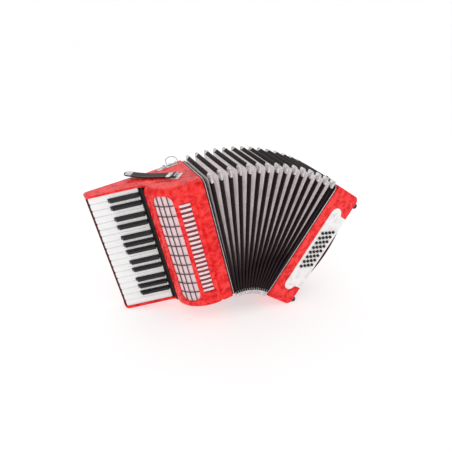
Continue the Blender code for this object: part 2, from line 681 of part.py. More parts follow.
def bass_controls(parent):
    wheel_axis = (BASS_WIDTH - 0.0045, 0.0)
    rim = [(wheel_axis[0] + r * math.cos(a), r * math.sin(a))
           for r, a in ((0.0090 - 0.0006 * (i % 2), math.radians(11.25 * i)) for i in range(32))]
    bm = prism([rim], BOX_HEIGHT - 0.0160, BOX_HEIGHT - 0.0100)
    piece("strap_adjuster_wheel", bm, parent, "metal", (*wheel_axis, BOX_HEIGHT - 0.013))
    centre = (0.040, BOX_HEIGHT - 0.058)
    inner = BASS_WIDTH - COVER_THICKNESS
    flange = disc(centre, 0.0085, inner - 0.0095, inner - 0.0065, ALONG_X)
    origin = (BASS_WIDTH, *centre)
    button = piece("air_button", flange, parent, "black_key", origin)
    combine(button, disc(centre, 0.006, inner - 0.008, BASS_WIDTH + 0.006, ALONG_X), "UNION")
    reeds = rectangle(0.014, -0.030, 0.058, HALF_DEPTH - WALL - GAP)
    piece("bass_reed_block", prism([reeds], 0.030, BOX_HEIGHT - 0.030), parent, "wood")


def bass_side(fan, lean):
    bass_lean = math.radians(FAN_ANGLE) - lean
    bass = frame("bass_frame", fan, on_fan(bass_lean, PIVOT_RADIUS), (0, bass_lean, 0))
    bellows_end_frame("bass_bellows_frame", bass, GAP)
    bass_body(bass)
    bass_cover(bass)
    bass_button_panel(bass)
    for row in range(len(BUTTON_ROWS)):
        bass_button_row(row, bass)
    bass_strap(bass)
    bass_controls(bass)


# --- placing --------------------------------------------------------------------------------------------
def stand_on_origin(fan):
    """Moves the instrument so that the middle of its footprint box is the origin."""
    bpy.context.view_layer.update()
    depsgraph = bpy.context.evaluated_depsgraph_get()
    spots = []
    for obj in bpy.data.objects:
        if obj.type not in {"MESH", "CURVE"} or obj.hide_render:
            continue
        shown = obj.evaluated_get(depsgraph)
        mesh = shown.to_mesh()
        spots += [shown.matrix_world @ vert.co for vert in mesh.vertices]
        shown.to_mesh_clear()
    low = Vector([min(p[k] for p in spots) for k in range(3)])
    high = Vector([max(p[k] for p in spots) for k in range(3)])
    fan.location = (-(low.x + high.x) / 2, -(low.y + high.y) / 2, -low.z)


def main():
    clear_scene()
    fan = frame("fan_frame", None, (0, 0, 0))
    lean = treble_lean()
    treble_side(fan, lean)
    bellows(fan, lean)
    bottom_strap(fan, lean)
    bass_side(fan, lean)
    stand_on_origin(fan)
    bpy.context.view_layer.update()


main()
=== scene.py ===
import json
import math
from bisect import bisect_right

import bmesh
import bpy
from mathutils import Matrix, Vector


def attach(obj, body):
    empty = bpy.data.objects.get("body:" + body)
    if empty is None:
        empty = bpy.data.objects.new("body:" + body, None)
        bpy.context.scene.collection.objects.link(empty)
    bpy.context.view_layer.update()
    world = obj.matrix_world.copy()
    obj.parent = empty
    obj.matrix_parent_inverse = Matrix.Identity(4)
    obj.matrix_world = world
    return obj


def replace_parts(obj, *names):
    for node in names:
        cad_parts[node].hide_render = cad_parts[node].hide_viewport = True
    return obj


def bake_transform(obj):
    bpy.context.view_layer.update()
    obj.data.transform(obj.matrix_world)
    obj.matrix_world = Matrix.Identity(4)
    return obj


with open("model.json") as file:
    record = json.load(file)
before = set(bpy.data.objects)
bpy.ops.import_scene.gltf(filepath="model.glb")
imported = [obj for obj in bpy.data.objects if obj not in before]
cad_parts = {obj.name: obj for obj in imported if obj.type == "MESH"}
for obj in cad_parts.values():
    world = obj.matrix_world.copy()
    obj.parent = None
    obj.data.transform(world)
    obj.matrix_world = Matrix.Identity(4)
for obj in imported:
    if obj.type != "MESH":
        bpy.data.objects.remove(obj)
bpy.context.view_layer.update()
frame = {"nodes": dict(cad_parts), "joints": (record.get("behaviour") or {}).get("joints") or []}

NODES = frame["nodes"]

# --- dimensions of the CAD model, metres and degrees ---
GAP = 0.0003  # between neighbouring parts
HEIGHT = 0.332  # of both boxes, along the keyboard
HALF_DEPTH = 0.078
PIVOT = 0.100  # apex of the fan to the lower edge of the boxes
FAN = math.radians(48.5)  # angle between the boxes
FOLDS = 15
STEP = FAN / FOLDS  # from crest to crest
FAN_HINGE = 6  # steps from the treble box to the hinge of bellows_fan
OUTSET = 0.004  # how far the bellows stand out beyond the boxes
TREBLE_WIDTH = 0.256
KEYBOARD_CORNER = 0.010  # radius of the outer corner that stands on the floor
BASS_WIDTH = 0.094
BASS_CORNER = 0.014  # the same on the bass box
BASS_TURN = math.radians(6.2)  # slant of the face that carries the buttons
TILT = math.radians(20)  # slope of the keyboard
AXLE = (-0.112, 0.022)  # x and y of the rod that the keys turn on
PITCH = 0.0178  # from one white key to the next
WHITE_NAMES = "GABCDEFGABCDEFGABC"
BLACK_OFFSETS = {"C": -0.13, "D": 0.13, "F": -0.16, "G": 0.0, "A": 0.16}  # shares of the pitch
BUTTON_ROWS = (0.0485, 0.0585, 0.0685, 0.0785)
BUTTON_COUNT = 8  # in a row
BUTTON_FIRST = 0.108
BUTTON_PITCH = 0.0144
BUTTON_SLANT = 0.0052  # how much higher each row starts
BUTTON_RADIUS = 0.0038
STRAP_SKEW = math.radians(45)  # of the top strap, from outwards towards the back
STRAP_AT = (-0.047, -0.010)  # hinge of the top strap on the treble box


# --- frames ---
def treble_lean():
    """Lean of the treble box that puts the outer corners of both boxes on the floor."""
    out = TREBLE_WIDTH - KEYBOARD_CORNER
    up = PIVOT + KEYBOARD_CORNER
    bass_out = BASS_WIDTH - BASS_CORNER
    bass_up = PIVOT + BASS_CORNER
    level = up - bass_up * math.cos(FAN) + bass_out * math.sin(FAN)
    across = out + bass_up * math.sin(FAN) + bass_out * math.cos(FAN)
    drop = KEYBOARD_CORNER - BASS_CORNER
    return math.acos(drop / math.hypot(level, across)) - math.atan2(across, level)


def on_fan(angle, radius):
    return Vector((radius * math.sin(angle), 0.0, radius * math.cos(angle)))


LEAN = treble_lean()
hinge = next(j for j in frame["joints"] if j["name"] == "bellows_fan")
APEX = Vector(hinge["pos_m"]) - on_fan(FAN_HINGE * STEP - LEAN, PIVOT)
TREBLE = Matrix.Translation(APEX + on_fan(-LEAN, PIVOT)) @ Matrix.Rotation(-LEAN, 4, "Y")
BASS = Matrix.Translation(APEX + on_fan(FAN - LEAN, PIVOT)) @ Matrix.Rotation(FAN - LEAN, 4, "Y")
KEYS = TREBLE @ Matrix.Translation((*AXLE, 0)) @ Matrix.Rotation(math.pi - TILT, 4, "Z")
BASS_FRONT = BASS @ Matrix.Translation((0, -HALF_DEPTH, 0)) @ Matrix((
    (math.cos(BASS_TURN), 0, math.sin(BASS_TURN), 0),
    (math.sin(BASS_TURN), 0, -math.cos(BASS_TURN), 0),
    (0, 1, 0, 0), (0, 0, 0, 1)))


# --- materials ---
class Paint:
    """A material and the few kinds of node that all finishes here are made of."""

    def __init__(self, name, **sockets):
        self.material = bpy.data.materials.new(name)
        self.material.use_nodes = True
        self.tree = self.material.node_tree
        self.shader = self.tree.nodes["Principled BSDF"]
        for socket, value in sockets.items():
            self.shader.inputs[socket.replace("_", " ")].default_value = value
        self.place = self.tree.nodes.new("ShaderNodeTexCoord").outputs["Object"]

    def node(self, kind, inputs=(), **settings):
        made = self.tree.nodes.new(kind)
        for key, value in settings.items():
            setattr(made, key, value)
        for key, value in dict(inputs).items():
            if isinstance(value, bpy.types.NodeSocket):
                self.tree.links.new(value, made.inputs[key])
            else:
                made.inputs[key].default_value = value
        return made

    def stretch(self, scale):
        return self.node("ShaderNodeMapping", {"Vector": self.place, "Scale": scale}).outputs["Vector"]

    def noise(self, scale, detail=3.0, distortion=0.0, place=None):
        inputs = {"Vector": place or self.place, "Scale": scale, "Detail": detail, "Distortion": distortion}
        return self.node("ShaderNodeTexNoise", inputs).outputs["Fac"]

    def cells(self, scale, place=None, feature="F1"):
        inputs = {"Vector": place or self.place, "Scale": scale}
        return self.node("ShaderNodeTexVoronoi", inputs, feature=feature).outputs["Distance"]

    def ramp(self, factor, *stops):
        made = self.node("ShaderNodeValToRGB", {"Fac": factor})
        ramp = made.color_ramp
        while len(ramp.elements) < len(stops):
            ramp.elements.new(0.5)
        for element, (position, colour) in zip(ramp.elements, stops):
            element.position = position
            element.color = (*colour, 1.0)
        return made.outputs["Color"]

    def math(self, operation, a, b):
        return self.node("ShaderNodeMath", {0: a, 1: b}, operation=operation).outputs[0]

    def colour(self, output):
        self.tree.links.new(output, self.shader.inputs["Base Color"])
        return self

    def rough(self, factor, low, high):
        inputs = {"Value": factor, "To Min": low, "To Max": high}
        self.tree.links.new(self.node("ShaderNodeMapRange", inputs).outputs[0],
                            self.shader.inputs["Roughness"])
        return self

    def bump(self, height, strength, distance):
        inputs = {"Height": height, "Strength": strength, "Distance": distance}
        self.tree.links.new(self.node("ShaderNodeBump", inputs).outputs[0], self.shader.inputs["Normal"])
        return self


def pearl(name, stops, roughness):
    """Pearloid celluloid: soft swirling patches with fine bright streaks."""
    paint = Paint(name, Coat_Weight=0.12, Coat_Roughness=0.08, IOR=1.32)
    warp = paint.node("ShaderNodeTexNoise", {"Vector": paint.place, "Scale": 28.0, "Detail": 2.0})
    shift = paint.node("ShaderNodeVectorMath", {0: warp.outputs["Color"], "Scale": 0.035},
                       operation="SCALE").outputs[0]
    bent = paint.node("ShaderNodeVectorMath", {0: paint.place, 1: shift}, operation="ADD").outputs[0]
    patches = paint.cells(70.0, bent)
    clouds = paint.noise(55.0, 6.0, 1.2, bent)
    mixed = paint.math("ADD", paint.math("MULTIPLY", patches, 0.55), paint.math("MULTIPLY", clouds, 0.75))
    paint.colour(paint.ramp(mixed, *stops))
    return paint.rough(clouds, roughness - 0.06, roughness + 0.1).material


LEATHERS = {  # finish: name, dark and light colour, scale of the grain, roughness
    "tape": ("bellows_tape", (0.007, 0.002, 0.003), (0.016, 0.006, 0.008), 1500.0, 0.5),
    "strap": ("strap_leather", (0.016, 0.010, 0.009), (0.040, 0.028, 0.024), 900.0, 0.40),
    "maroon": ("maroon_leather", (0.055, 0.008, 0.011), (0.115, 0.020, 0.026), 800.0, 0.42),
    "lining": ("strap_lining", (0.050, 0.016, 0.018), (0.095, 0.036, 0.038), 1100.0, 0.75)}
PLAINS = {
    "fin": ("louvre_white", (0.84, 0.62, 0.65), (0.96, 0.80, 0.82), 120.0, 0.30),
    # the louvre sheet is painted shade: dark maroon standing for the shade behind the fins
    "shade": ("louvre_painted_shade", (0.20, 0.02, 0.03), (0.34, 0.05, 0.06), 200.0, 0.55),
    "lattice": ("lattice_dark", (0.055, 0.022, 0.026), (0.10, 0.045, 0.05), 300.0, 0.34),
    "thread": ("thread", (0.30, 0.27, 0.24), (0.42, 0.38, 0.34), 2500.0, 0.7),
    "rubber": ("rubber", (0.010, 0.010, 0.010), (0.022, 0.022, 0.022), 700.0, 0.6),
    "felt": ("black_felt", (0.006, 0.005, 0.005), (0.016, 0.013, 0.013), 2200.0, 0.9)}
RED = ((0.30, (0.34, 0.0, 0.002)), (0.43, (0.62, 0.0, 0.003)), (0.58, (0.86, 0.001, 0.004)),
       (0.80, (1.0, 0.045, 0.042)))
WHITE = ((0.30, (0.72, 0.66, 0.67)), (0.5, (0.86, 0.81, 0.82)), (0.72, (0.95, 0.92, 0.92)))


def grey(value):
    return (value, value, value)


def make_materials():
    made = {"red": pearl("red_pearl", RED, 0.26), "panel": pearl("white_pearl", WHITE, 0.28)}
    white = Paint("key_white", Roughness=0.16, Coat_Weight=0.5, Coat_Roughness=0.05)
    white.colour(white.ramp(white.noise(35.0, 2.0), (0.3, grey(0.90)), (0.7, grey(0.96))))
    made["white_key"] = white.material
    black = Paint("key_black", Roughness=0.2, Coat_Weight=0.15, Coat_Roughness=0.08, Specular_IOR_Level=0.25)
    cloud = black.noise(60.0, 2.0)
    black.colour(black.ramp(cloud, (0.3, (0.010, 0.009, 0.010)), (0.7, (0.018, 0.017, 0.018))))
    made["black_key"] = black.rough(black.noise(220.0, 3.0), 0.14, 0.30).material
    made.update((finish, leather(*look)) for finish, look in LEATHERS.items())
    made.update(card=card(), nickel=nickel(), cloth=cloth())
    made.update((finish, plain(*look)) for finish, look in PLAINS.items())
    made["wood"] = wood()
    return made


def plain(name, dark, light, scale, roughness):
    paint = Paint(name)
    grain = paint.noise(scale, 4.0)
    paint.colour(paint.ramp(grain, (0.35, dark), (0.65, light)))
    return paint.rough(grain, roughness - 0.06, roughness + 0.08).bump(grain, 0.12, 0.0002).material


def leather(name, dark, light, scale, roughness):
    """Pebbled leather grain with slightly shinier tops."""
    paint = Paint(name, Specular_IOR_Level=0.2)
    grain = paint.cells(scale, feature="SMOOTH_F1")
    wear = paint.noise(38.0, 4.0)
    both = paint.math("ADD", paint.math("MULTIPLY", grain, 0.5), paint.math("MULTIPLY", wear, 0.7))
    paint.colour(paint.ramp(both, (0.25, dark), (0.85, light)))
    return paint.rough(wear, roughness - 0.08, roughness + 0.12).bump(grain, 0.35, 0.0004).material


def card():
    """Paper covered bellows card, with painted shade that makes it darker towards the lower edge of the
    instrument.
    """
    paint = Paint("bellows_card")
    fibre = paint.noise(420.0, 4.0)
    clouds = paint.noise(30.0, 3.0)
    both = paint.math("ADD", paint.math("MULTIPLY", fibre, 0.35), paint.math("MULTIPLY", clouds, 0.65))
    pale = paint.ramp(both, (0.3, (0.82, 0.74, 0.75)), (0.5, (0.92, 0.85, 0.86)), (0.7, (0.98, 0.93, 0.94)))
    # painted shade: the pale card is multiplied darker below z 0.21, almost black at z 0.03, for the shade
    # deep in the lower folds
    height = paint.node("ShaderNodeSeparateXYZ", {"Vector": paint.place}).outputs["Z"]
    low = paint.node("ShaderNodeMapRange", {"Value": height, "From Min": 0.03, "From Max": 0.21}).outputs[0]
    painted_shade = paint.ramp(low, (0.0, (0.02, 0.008, 0.010)), (0.45, (0.30, 0.24, 0.25)), (1.0, (1.0, 1.0, 1.0)))
    paint.colour(paint.node("ShaderNodeMix", {0: 1.0, 6: pale, 7: painted_shade}, data_type="RGBA",
                            blend_type="MULTIPLY").outputs[2])
    return paint.rough(fibre, 0.5, 0.7).bump(fibre, 0.15, 0.0003).material


def nickel():
    paint = Paint("nickel", Metallic=0.85)
    wear = paint.noise(160.0, 5.0)
    paint.colour(paint.ramp(wear, (0.3, (0.50, 0.47, 0.47)), (0.65, (0.76, 0.73, 0.73))))
    return paint.rough(wear, 0.18, 0.42).bump(wear, 0.08, 0.0002).material


def cloth():
    """Woven grille cloth."""
    paint = Paint("grille_cloth_weave", Roughness=0.72)
    threads = {"Vector": paint.place, "Scale": 260.0, "Distortion": 0.6}
    across, along = [paint.node("ShaderNodeTexWave", threads, bands_direction=way).outputs["Fac"]
                     for way in "XZ"]
    weave = paint.math("MULTIPLY", across, along)
    paint.colour(paint.ramp(weave, (0.0, (0.90, 0.64, 0.67)), (0.8, (1.0, 0.87, 0.88))))
    return paint.bump(weave, 0.4, 0.0004).material


def wood():
    paint = Paint("wood")
    grain = paint.noise(60.0, 6.0, 1.2, paint.stretch((3.0, 3.0, 0.35)))
    paint.colour(paint.ramp(grain, (0.3, (0.34, 0.20, 0.10)), (0.7, (0.62, 0.43, 0.24))))
    return paint.rough(grain, 0.5, 0.7).bump(grain, 0.2, 0.0003).material


MATERIALS = make_materials()


# --- mesh helpers ---
class Shape:
    """Collects parts of one mesh; each face keeps the number of its material."""

    def __init__(self):
        self.verts = []
        self.faces = []
        self.finishes = []

    def add(self, made, finish=0, matrix=None):
        verts, faces = made
        first = len(self.verts)
        self.verts += [matrix @ Vector(v) for v in verts] if matrix else [Vector(v) for v in verts]
        self.faces += [tuple(first + i for i in face) for face in faces]
        self.finishes += finish if isinstance(finish, list) else [finish] * len(faces)
        return self

    def build(self, name, materials, body=None, smooth=35.0):
        mesh = bpy.data.meshes.new(name)
        mesh.from_pydata([tuple(v) for v in self.verts], [], self.faces)
        for key in materials:
            mesh.materials.append(MATERIALS[key])
        mesh.polygons.foreach_set("material_index", self.finishes)
        return finish_mesh(name, mesh, body, smooth)


def link(name, data):
    obj = bpy.data.objects.new(name, data)
    bpy.context.collection.objects.link(obj)
    return obj


def finish_mesh(name, mesh, body, smooth):
    bm = bmesh.new()
    bm.from_mesh(mesh)
    bmesh.ops.recalc_face_normals(bm, faces=bm.faces[:])
    bm.to_mesh(mesh)
    bm.free()
    mesh.shade_smooth()
    mesh.set_sharp_from_angle(angle=math.radians(smooth))
    obj = link(name, mesh)
    if body:
        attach(obj, body)
    return obj


def skin(rows, loop=False):
    """Surface through closed rows of points; `loop` joins the last row to the first, instead of end faces."""
    count = len(rows[0])
    verts = [point for row in rows for point in row]
    faces = []
    for i in range(len(rows) if loop else len(rows) - 1):
        ahead = (i + 1) % len(rows)
        for j in range(count):
            beside = (j + 1) % count
            faces.append((i * count + j, i * count + beside, ahead * count + beside, ahead * count + j))
    if not loop:
        faces.append(tuple(range(count))[::-1])
        faces.append(tuple(range(len(verts) - count, len(verts))))
    return verts, faces


def arc(centre, radius, start, end, steps):
    turns = [math.radians(start + (end - start) * i / steps) for i in range(steps + 1)]
    return [(centre[0] + radius * math.cos(a), centre[1] + radius * math.sin(a)) for a in turns]


def slab(outline, low, high, edge=0.0, steps=2):
    """Prism of an outline (x, y) from z low to high; its top edge is rounded by `edge`."""
    rows = [[(x, y, low) for x, y in outline]]
    for k in range(steps + 1 if edge else 1):
        turn = math.pi / 2 * k / steps if edge else 0
        inset = edge * (1 - math.cos(turn))
        level = high - edge + edge * math.sin(turn)
        rows.append([(x, y, level) for x, y in shrink(outline, inset)])
    return skin(rows)


def shrink(outline, inset):
    """Moves an anticlockwise outline inwards along its corner bisectors."""
    if not inset:
        return outline
    moved = []
    for i, here in enumerate(outline):
        here = Vector(here)
        back = (here - Vector(outline[i - 1])).normalized()
        ahead = (Vector(outline[(i + 1) % len(outline)]) - here).normalized()
        normal = Vector((-back.y - ahead.y, back.x + ahead.x))
        stretch = 1 + back.dot(ahead)
        moved.append(tuple(here + normal * inset / max(stretch, 0.35)))
    return moved


def round_box(x0, y0, x1, y1, radius, steps=4):
    """Anticlockwise rectangle with round corners."""
    points = arc((x1 - radius, y0 + radius), radius, -90, 0, steps)
    points += arc((x1 - radius, y1 - radius), radius, 0, 90, steps)
    points += arc((x0 + radius, y1 - radius), radius, 90, 180, steps)
    return points + arc((x0 + radius, y0 + radius), radius, 180, 270, steps)


def stud(radius, profile, sides=24):
    """Solid of revolution about z; profile is (share of the radius, height) from the rim up."""
    rows = []
    for share, height in profile:
        rows.append([(radius * share * math.cos(2 * math.pi * i / sides),
                      radius * share * math.sin(2 * math.pi * i / sides), height) for i in range(sides)])
    return skin(rows)


def tube(path, radius, sides=10, loop=False):
    """Round bar along a path of points."""
    rows = []
    count = len(path)
    previous = None
    for i, here in enumerate(path):
        here = Vector(here)
        back = Vector(path[i - 1] if (i or loop) else path[i])
        ahead = Vector(path[(i + 1) % count] if (i < count - 1 or loop) else path[i])
        along = (ahead - back).normalized()
        side = previous or along.orthogonal().normalized()
        side = (side - along * side.dot(along)).normalized()
        previous = side
        up = along.cross(side)
        rows.append([here + radius * (side * math.cos(2 * math.pi * k / sides)
                                      + up * math.sin(2 * math.pi * k / sides)) for k in range(sides)])
    return skin(rows, loop=loop)


def axes(x, y, z, origin=(0, 0, 0)):
    """Matrix with the given axes as columns."""
    return Matrix.Translation(origin) @ Matrix((x, y, z)).transposed().to_4x4()


def facing_x(*origin):
    """Turns an outline (x, y) into (y, z), with its height along x."""
    return axes((0, 1, 0), (0, 0, 1), (1, 0, 0), origin)


SCREW_DOME = ((1, -0.0006), (1, 0.0003), (0.86, 0.0008), (0.5, 0.0011), (0.08, 0.0012))


def screw(shape, place, spot, radius):
    """Dome head on a spot of `place`, in the shape's first material."""
    shape.add(stud(radius, SCREW_DOME, 16), 0, place @ Matrix.Translation(spot))


# --- bellows ---
DEEP = 0.021  # crest to valley
CREST_HALF = 0.0022  # half the thickness of a fold at its crest
CARD_TOP = 0.0010  # where the cards start below the crest
CARD_THICKNESS = 0.0011
TIP_CUT = 0.0042  # cuts the mitred tip of a card off inside the round corner
CARD_RIM = TIP_CUT / 2  # depth where that cut meets the mitre
TAPE_END = 0.0078  # how far the tape reaches over the card
TAPE = 0.0003  # its thickness
WING = 0.019  # length of a corner plate along each side
LOW_WING = 0.013  # the same at the two lower corners
CREST_RADIUS = 0.006
OUT_Y = HALF_DEPTH + OUTSET
OUT_LOW = PIVOT - OUTSET
OUT_HIGH = PIVOT + HEIGHT + OUTSET
CREST_EDGE = ((0.0024, 0.0022), (0.0012, 0.0022), (0.0005, 0.00185), (0.0001, 0.00105))  # depth, side
CAP_EDGE = ((0.0019, 0.00255), (0.0009, 0.00255), (0.0002, 0.00215), (-0.0003, 0.00125))
CAP_PEAK = (-0.00045, 0.0)
CORNER_PLATE = ((0.0033, 0.0009), (WING, 0.0009), (WING - 0.0008, 0.0036), (WING - 0.0045, 0.0062),
                (0.0122, 0.0078), (0.0092, 0.0092), (CARD_RIM, CARD_RIM))  # distance along, depth
KNOTS = ((0.0, "treble"), (1.5, "bellows_1"), (4.5, "bellows_2"), (7.5, "bellows_3"), (10.5, "bellows_4"),
         (13.5, "bellows_5"), (15.0, "bass"))  # steps from the treble box to each body


def fan_point(pitch, y, radius, side):
    """A point by its steps from the treble box, its radius from the apex and its offset sideways."""
    angle = pitch * STEP - LEAN
    return APEX + Vector((math.sin(angle) * radius + math.cos(angle) * side, y,
                          math.cos(angle) * radius - math.sin(angle) * side))


def follow(obj, pitch):
    """A rigid piece at a place between two bodies of the bellows."""
    for knot, body in KNOTS:
        if abs(knot - pitch) < 1e-6:
            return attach(obj, body)
    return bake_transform(obj)


def crest_path(wing=0.0, corner=None):
    """Points (y, radius, normal) round a crest, or round one corner of it with straight wings."""
    points = []
    for number in (range(4) if corner is None else (corner,)):
        centre_y = (OUT_Y - CREST_RADIUS) * (1 if number in (0, 1) else -1)
        centre_r = OUT_HIGH - CREST_RADIUS if number in (1, 2) else OUT_LOW + CREST_RADIUS
        turns = [math.radians(90 * (number - 1) + degrees) for degrees in range(0, 91, 15)]
        spots = [(centre_y + CREST_RADIUS * math.cos(a), centre_r + CREST_RADIUS * math.sin(a),
                  math.cos(a), math.sin(a)) for a in turns]
        if wing:
            reach = wing - CREST_RADIUS
            y, r, ny, nr = spots[0]
            spots.insert(0, (y + nr * reach, r - ny * reach, ny, nr))
            y, r, ny, nr = spots[-1]
            spots.append((y - nr * reach, r + ny * reach, ny, nr))
        points += spots
    return points


def along_crest(pitch, path, profile):
    """Rows of the profile (depth, side) carried along a path."""
    return [[fan_point(pitch, y - ny * d, r - nr * d, side) for d, side in profile]
            for y, r, ny, nr in path]


def mirrored(edge, peak):
    """Profile from one half of it and the point on its middle line."""
    return [(depth, -side) for depth, side in edge] + [peak, *reversed(edge)]


def build_crest(number):
    """Tape round the crest of a fold, with a metal cap on each corner."""
    pitch = number + 0.5
    profile = mirrored(CREST_EDGE, (0.0, 0.0))
    shape = Shape().add(skin(along_crest(pitch, crest_path(), profile), loop=True))
    inner = ((CAP_EDGE[0][0], CREST_HALF), *CREST_EDGE[1:])
    cap = mirrored(CAP_EDGE, CAP_PEAK) + mirrored(inner, (0.0, 0.0))[::-1]
    for corner in range(4):
        path = crest_path(LOW_WING if corner in (0, 3) else WING, corner)
        shape.add(skin(along_crest(pitch, path, cap)), 1)
    return follow(shape.build(f"bellows_crest_{number + 1:02d}", ("tape", "nickel")), pitch)


def card_side(depth, radius):
    """How far a card stands from the plane of its crest."""
    share = (depth - CARD_TOP) / (DEEP - CARD_TOP)
    return CREST_HALF + share * (radius * math.tan(STEP / 2) - CREST_HALF)


def card_ends(depth):
    """Mitred end of a card, with its tip cut off."""
    return max(depth, TIP_CUT - depth)


def build_card(number, way, side):
    """One half of a fold on one side of the bellows: card, tape flap and two corner plates."""
    pitch = number + 0.5
    upright = side in ("front", "back")
    length = OUT_HIGH - OUT_LOW if upright else 2 * OUT_Y
    tape, paper, metal = 0, 1, 2
    plate_top = TAPE * 2.2

    def across(depth):
        """y of an upright card, or the radius of a level one."""
        return {"front": depth - OUT_Y, "back": OUT_Y - depth,
                "top": OUT_HIGH - depth, "bottom": OUT_LOW + depth}[side]

    def spot(a, depth, level):
        y, radius = (across(depth), OUT_LOW + a) if upright else (a - OUT_Y, across(depth))
        return fan_point(pitch, y, radius, way * (card_side(depth, radius) + level))

    stations = ((CARD_TOP, TAPE), (CARD_RIM, TAPE), (TAPE_END, TAPE), (TAPE_END, 0), (DEEP, 0),
                (DEEP, -CARD_THICKNESS), (CARD_RIM, -CARD_THICKNESS), (CARD_TOP, -CARD_THICKNESS))
    rows = [[spot(card_ends(depth), depth, level) for depth, level in stations],
            [spot(length - card_ends(depth), depth, level) for depth, level in stations]]
    shape = Shape().add(skin(rows), [tape] * 3 + [paper] * 4 + [tape, paper, paper])
    for flat in (CORNER_PLATE, [(length - a, depth) for a, depth in CORNER_PLATE]):
        shape.add(skin([[spot(a, depth, level) for a, depth in flat] for level in (TAPE, plate_top)]), metal)
    name = f"bellows_card_{number + 1:02d}_{'a' if way < 0 else 'b'}_{side}"
    obj = shape.build(name, ("tape", "card", "nickel"))

    def place(depth):
        return Vector((0, across(depth), 0)) if upright else fan_point(pitch, 0, across(depth), 0)

    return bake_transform(obj)


def build_bellows():
    for number in range(FOLDS):
        crest = build_crest(number)
        if number % 3 == 1:
            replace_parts(crest, f"bellows_fold_{number // 3 + 1}")
        for way in (-1, 1):
            for side in ("front", "back", "top", "bottom"):
                build_card(number, way, side)


def build_bottom_strap():
    """The fastened strap, curved along the fan of the bellows in one stretch between each two bodies."""
    radius = PIVOT - OUTSET - 0.0024
    half, soft, thick, thin = 0.011, 0.0008, 0.0011, 0.0006
    end_lift = 0.0030
    steps = 6
    upper = ((-half, thin), (-half + soft, thick), (half - soft, thick), (half, thin))
    section = (*upper, *((y, -up) for y, up in reversed(upper)))
    for number, ((low, before), (high, after)) in enumerate(zip(KNOTS, KNOTS[1:]), start=1):
        rows = []
        for i in range(steps + 1):
            pitch = low + (high - low) * i / steps
            from_end = {1: i, len(KNOTS) - 1: steps - i}.get(number, steps)
            lift = end_lift * max(0.0, 1 - from_end / 2) ** 2
            rows.append([fan_point(pitch, y, radius + lift + up, 0) for y, up in section])
        strap = Shape().add(skin(rows)).build(f"bottom_strap_{number}", ("strap",))
        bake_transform(strap)
        if number == 3:
            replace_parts(strap, "bottom_bellows_strap")
    tab_length, tab_height, snap_at = 0.040, 0.0020, 0.026
    dome = ((1, -0.0004), (1, 0.0008), (0.9, 0.0015), (0.6, 0.0019), (0.1, 0.002))
    for name, matrix, way in (("treble", TREBLE, -1), ("bass", BASS, 1)):
        tab = Shape()
        x0, x1 = sorted((0.0, way * tab_length))
        place = matrix @ axes((1, 0, 0), (0, -1, 0), (0, 0, -1), (0, 0, -GAP))
        tab.add(slab(round_box(x0, -half, x1, half, 0.004), 0.0, tab_height, 0.0006), 0, place)
        tab.add(stud(0.0062, dome), 1, place @ Matrix.Translation((way * snap_at, 0, tab_height)))
        tab.build(f"bottom_strap_tab_{name}", ("strap", "nickel"), name)


# --- end frames of the bellows ---
BANDS = ((0.0080, 0.0056, 0.0026, 0.0130), (0.0056, 0.0036, 0.0010, 0.0140),
         (0.0036, GAP, 0.0017, 0.0135))  # far and near edge from the bellows, inset, corner radius
BAND_WALL = 0.020  # from the outside of the box to the opening inside the frame


def build_end_frame(body, matrix, side):
    """Felt gasket, nickel band and tape, from the box to the bellows; side is -1 on the treble box."""
    shape = Shape()
    soft = 0.0005
    for number, (far, near, inset, radius) in enumerate(BANDS):
        outer = round_box(inset - HALF_DEPTH, inset, HALF_DEPTH - inset, HEIGHT - inset, radius, 5)
        rows = []
        for x, cut in ((far, soft), (far - soft, 0), (near + soft, 0), (near, soft)):
            rows.append([(side * x, y, z) for y, z in shrink(outer, cut)])
        inner = round_box(BAND_WALL - HALF_DEPTH, BAND_WALL, HALF_DEPTH - BAND_WALL, HEIGHT - BAND_WALL,
                          0.002, 5)
        rows.append([(side * near, y, z) for y, z in inner])
        rows.append([(side * far, y, z) for y, z in inner])
        shape.add(skin(rows, loop=True), number, matrix)
    ring = shape.build(f"{body}_bellows_edge", ("felt", "nickel", "tape"), body)
    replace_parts(ring, f"{body}_bellows_frame")


# --- treble grille ---
SIDE = -0.0083  # x of the grille's edge by the bellows
SEAM = 0.0014  # y where the grille meets the back half of the box
FLAT_END = -0.035  # x where its straight part ends
FLAT_STEPS = 40
BULGE = 0.095  # length of the quarter ellipse that follows
ROUND = 0.016  # rounding of its upper edge
ROUND_LOW = 0.009  # and of its lower edge
WINDOW_AT = 48.5  # degrees along the ellipse to the middle of the window
WINDOW = (0.026, 0.021, 0.318, 0.020)  # half-width, lower and upper end, corner radius
LOUVRES = (9, 0.042, 25, 0.292)  # first angle, lower end, last angle, upper end
LOUVRE_COUNT = 20
LOUVRE_EDGE = ((-0.0033, 0.0024), (-0.0029, 0.0014), (-0.0016, 0.0006), (0.0, 0.0003),
               (0.0016, 0.0005), (0.0029, 0.0010), (0.0033, 0.0020), (0.0, 0.0022))  # height, inset
GROOVE_X = -0.0355
GROOVE = (0.0042, 0.0030)  # depth and half-width of the crease beside the bulge
GRILLE_THICKNESS = 0.0028


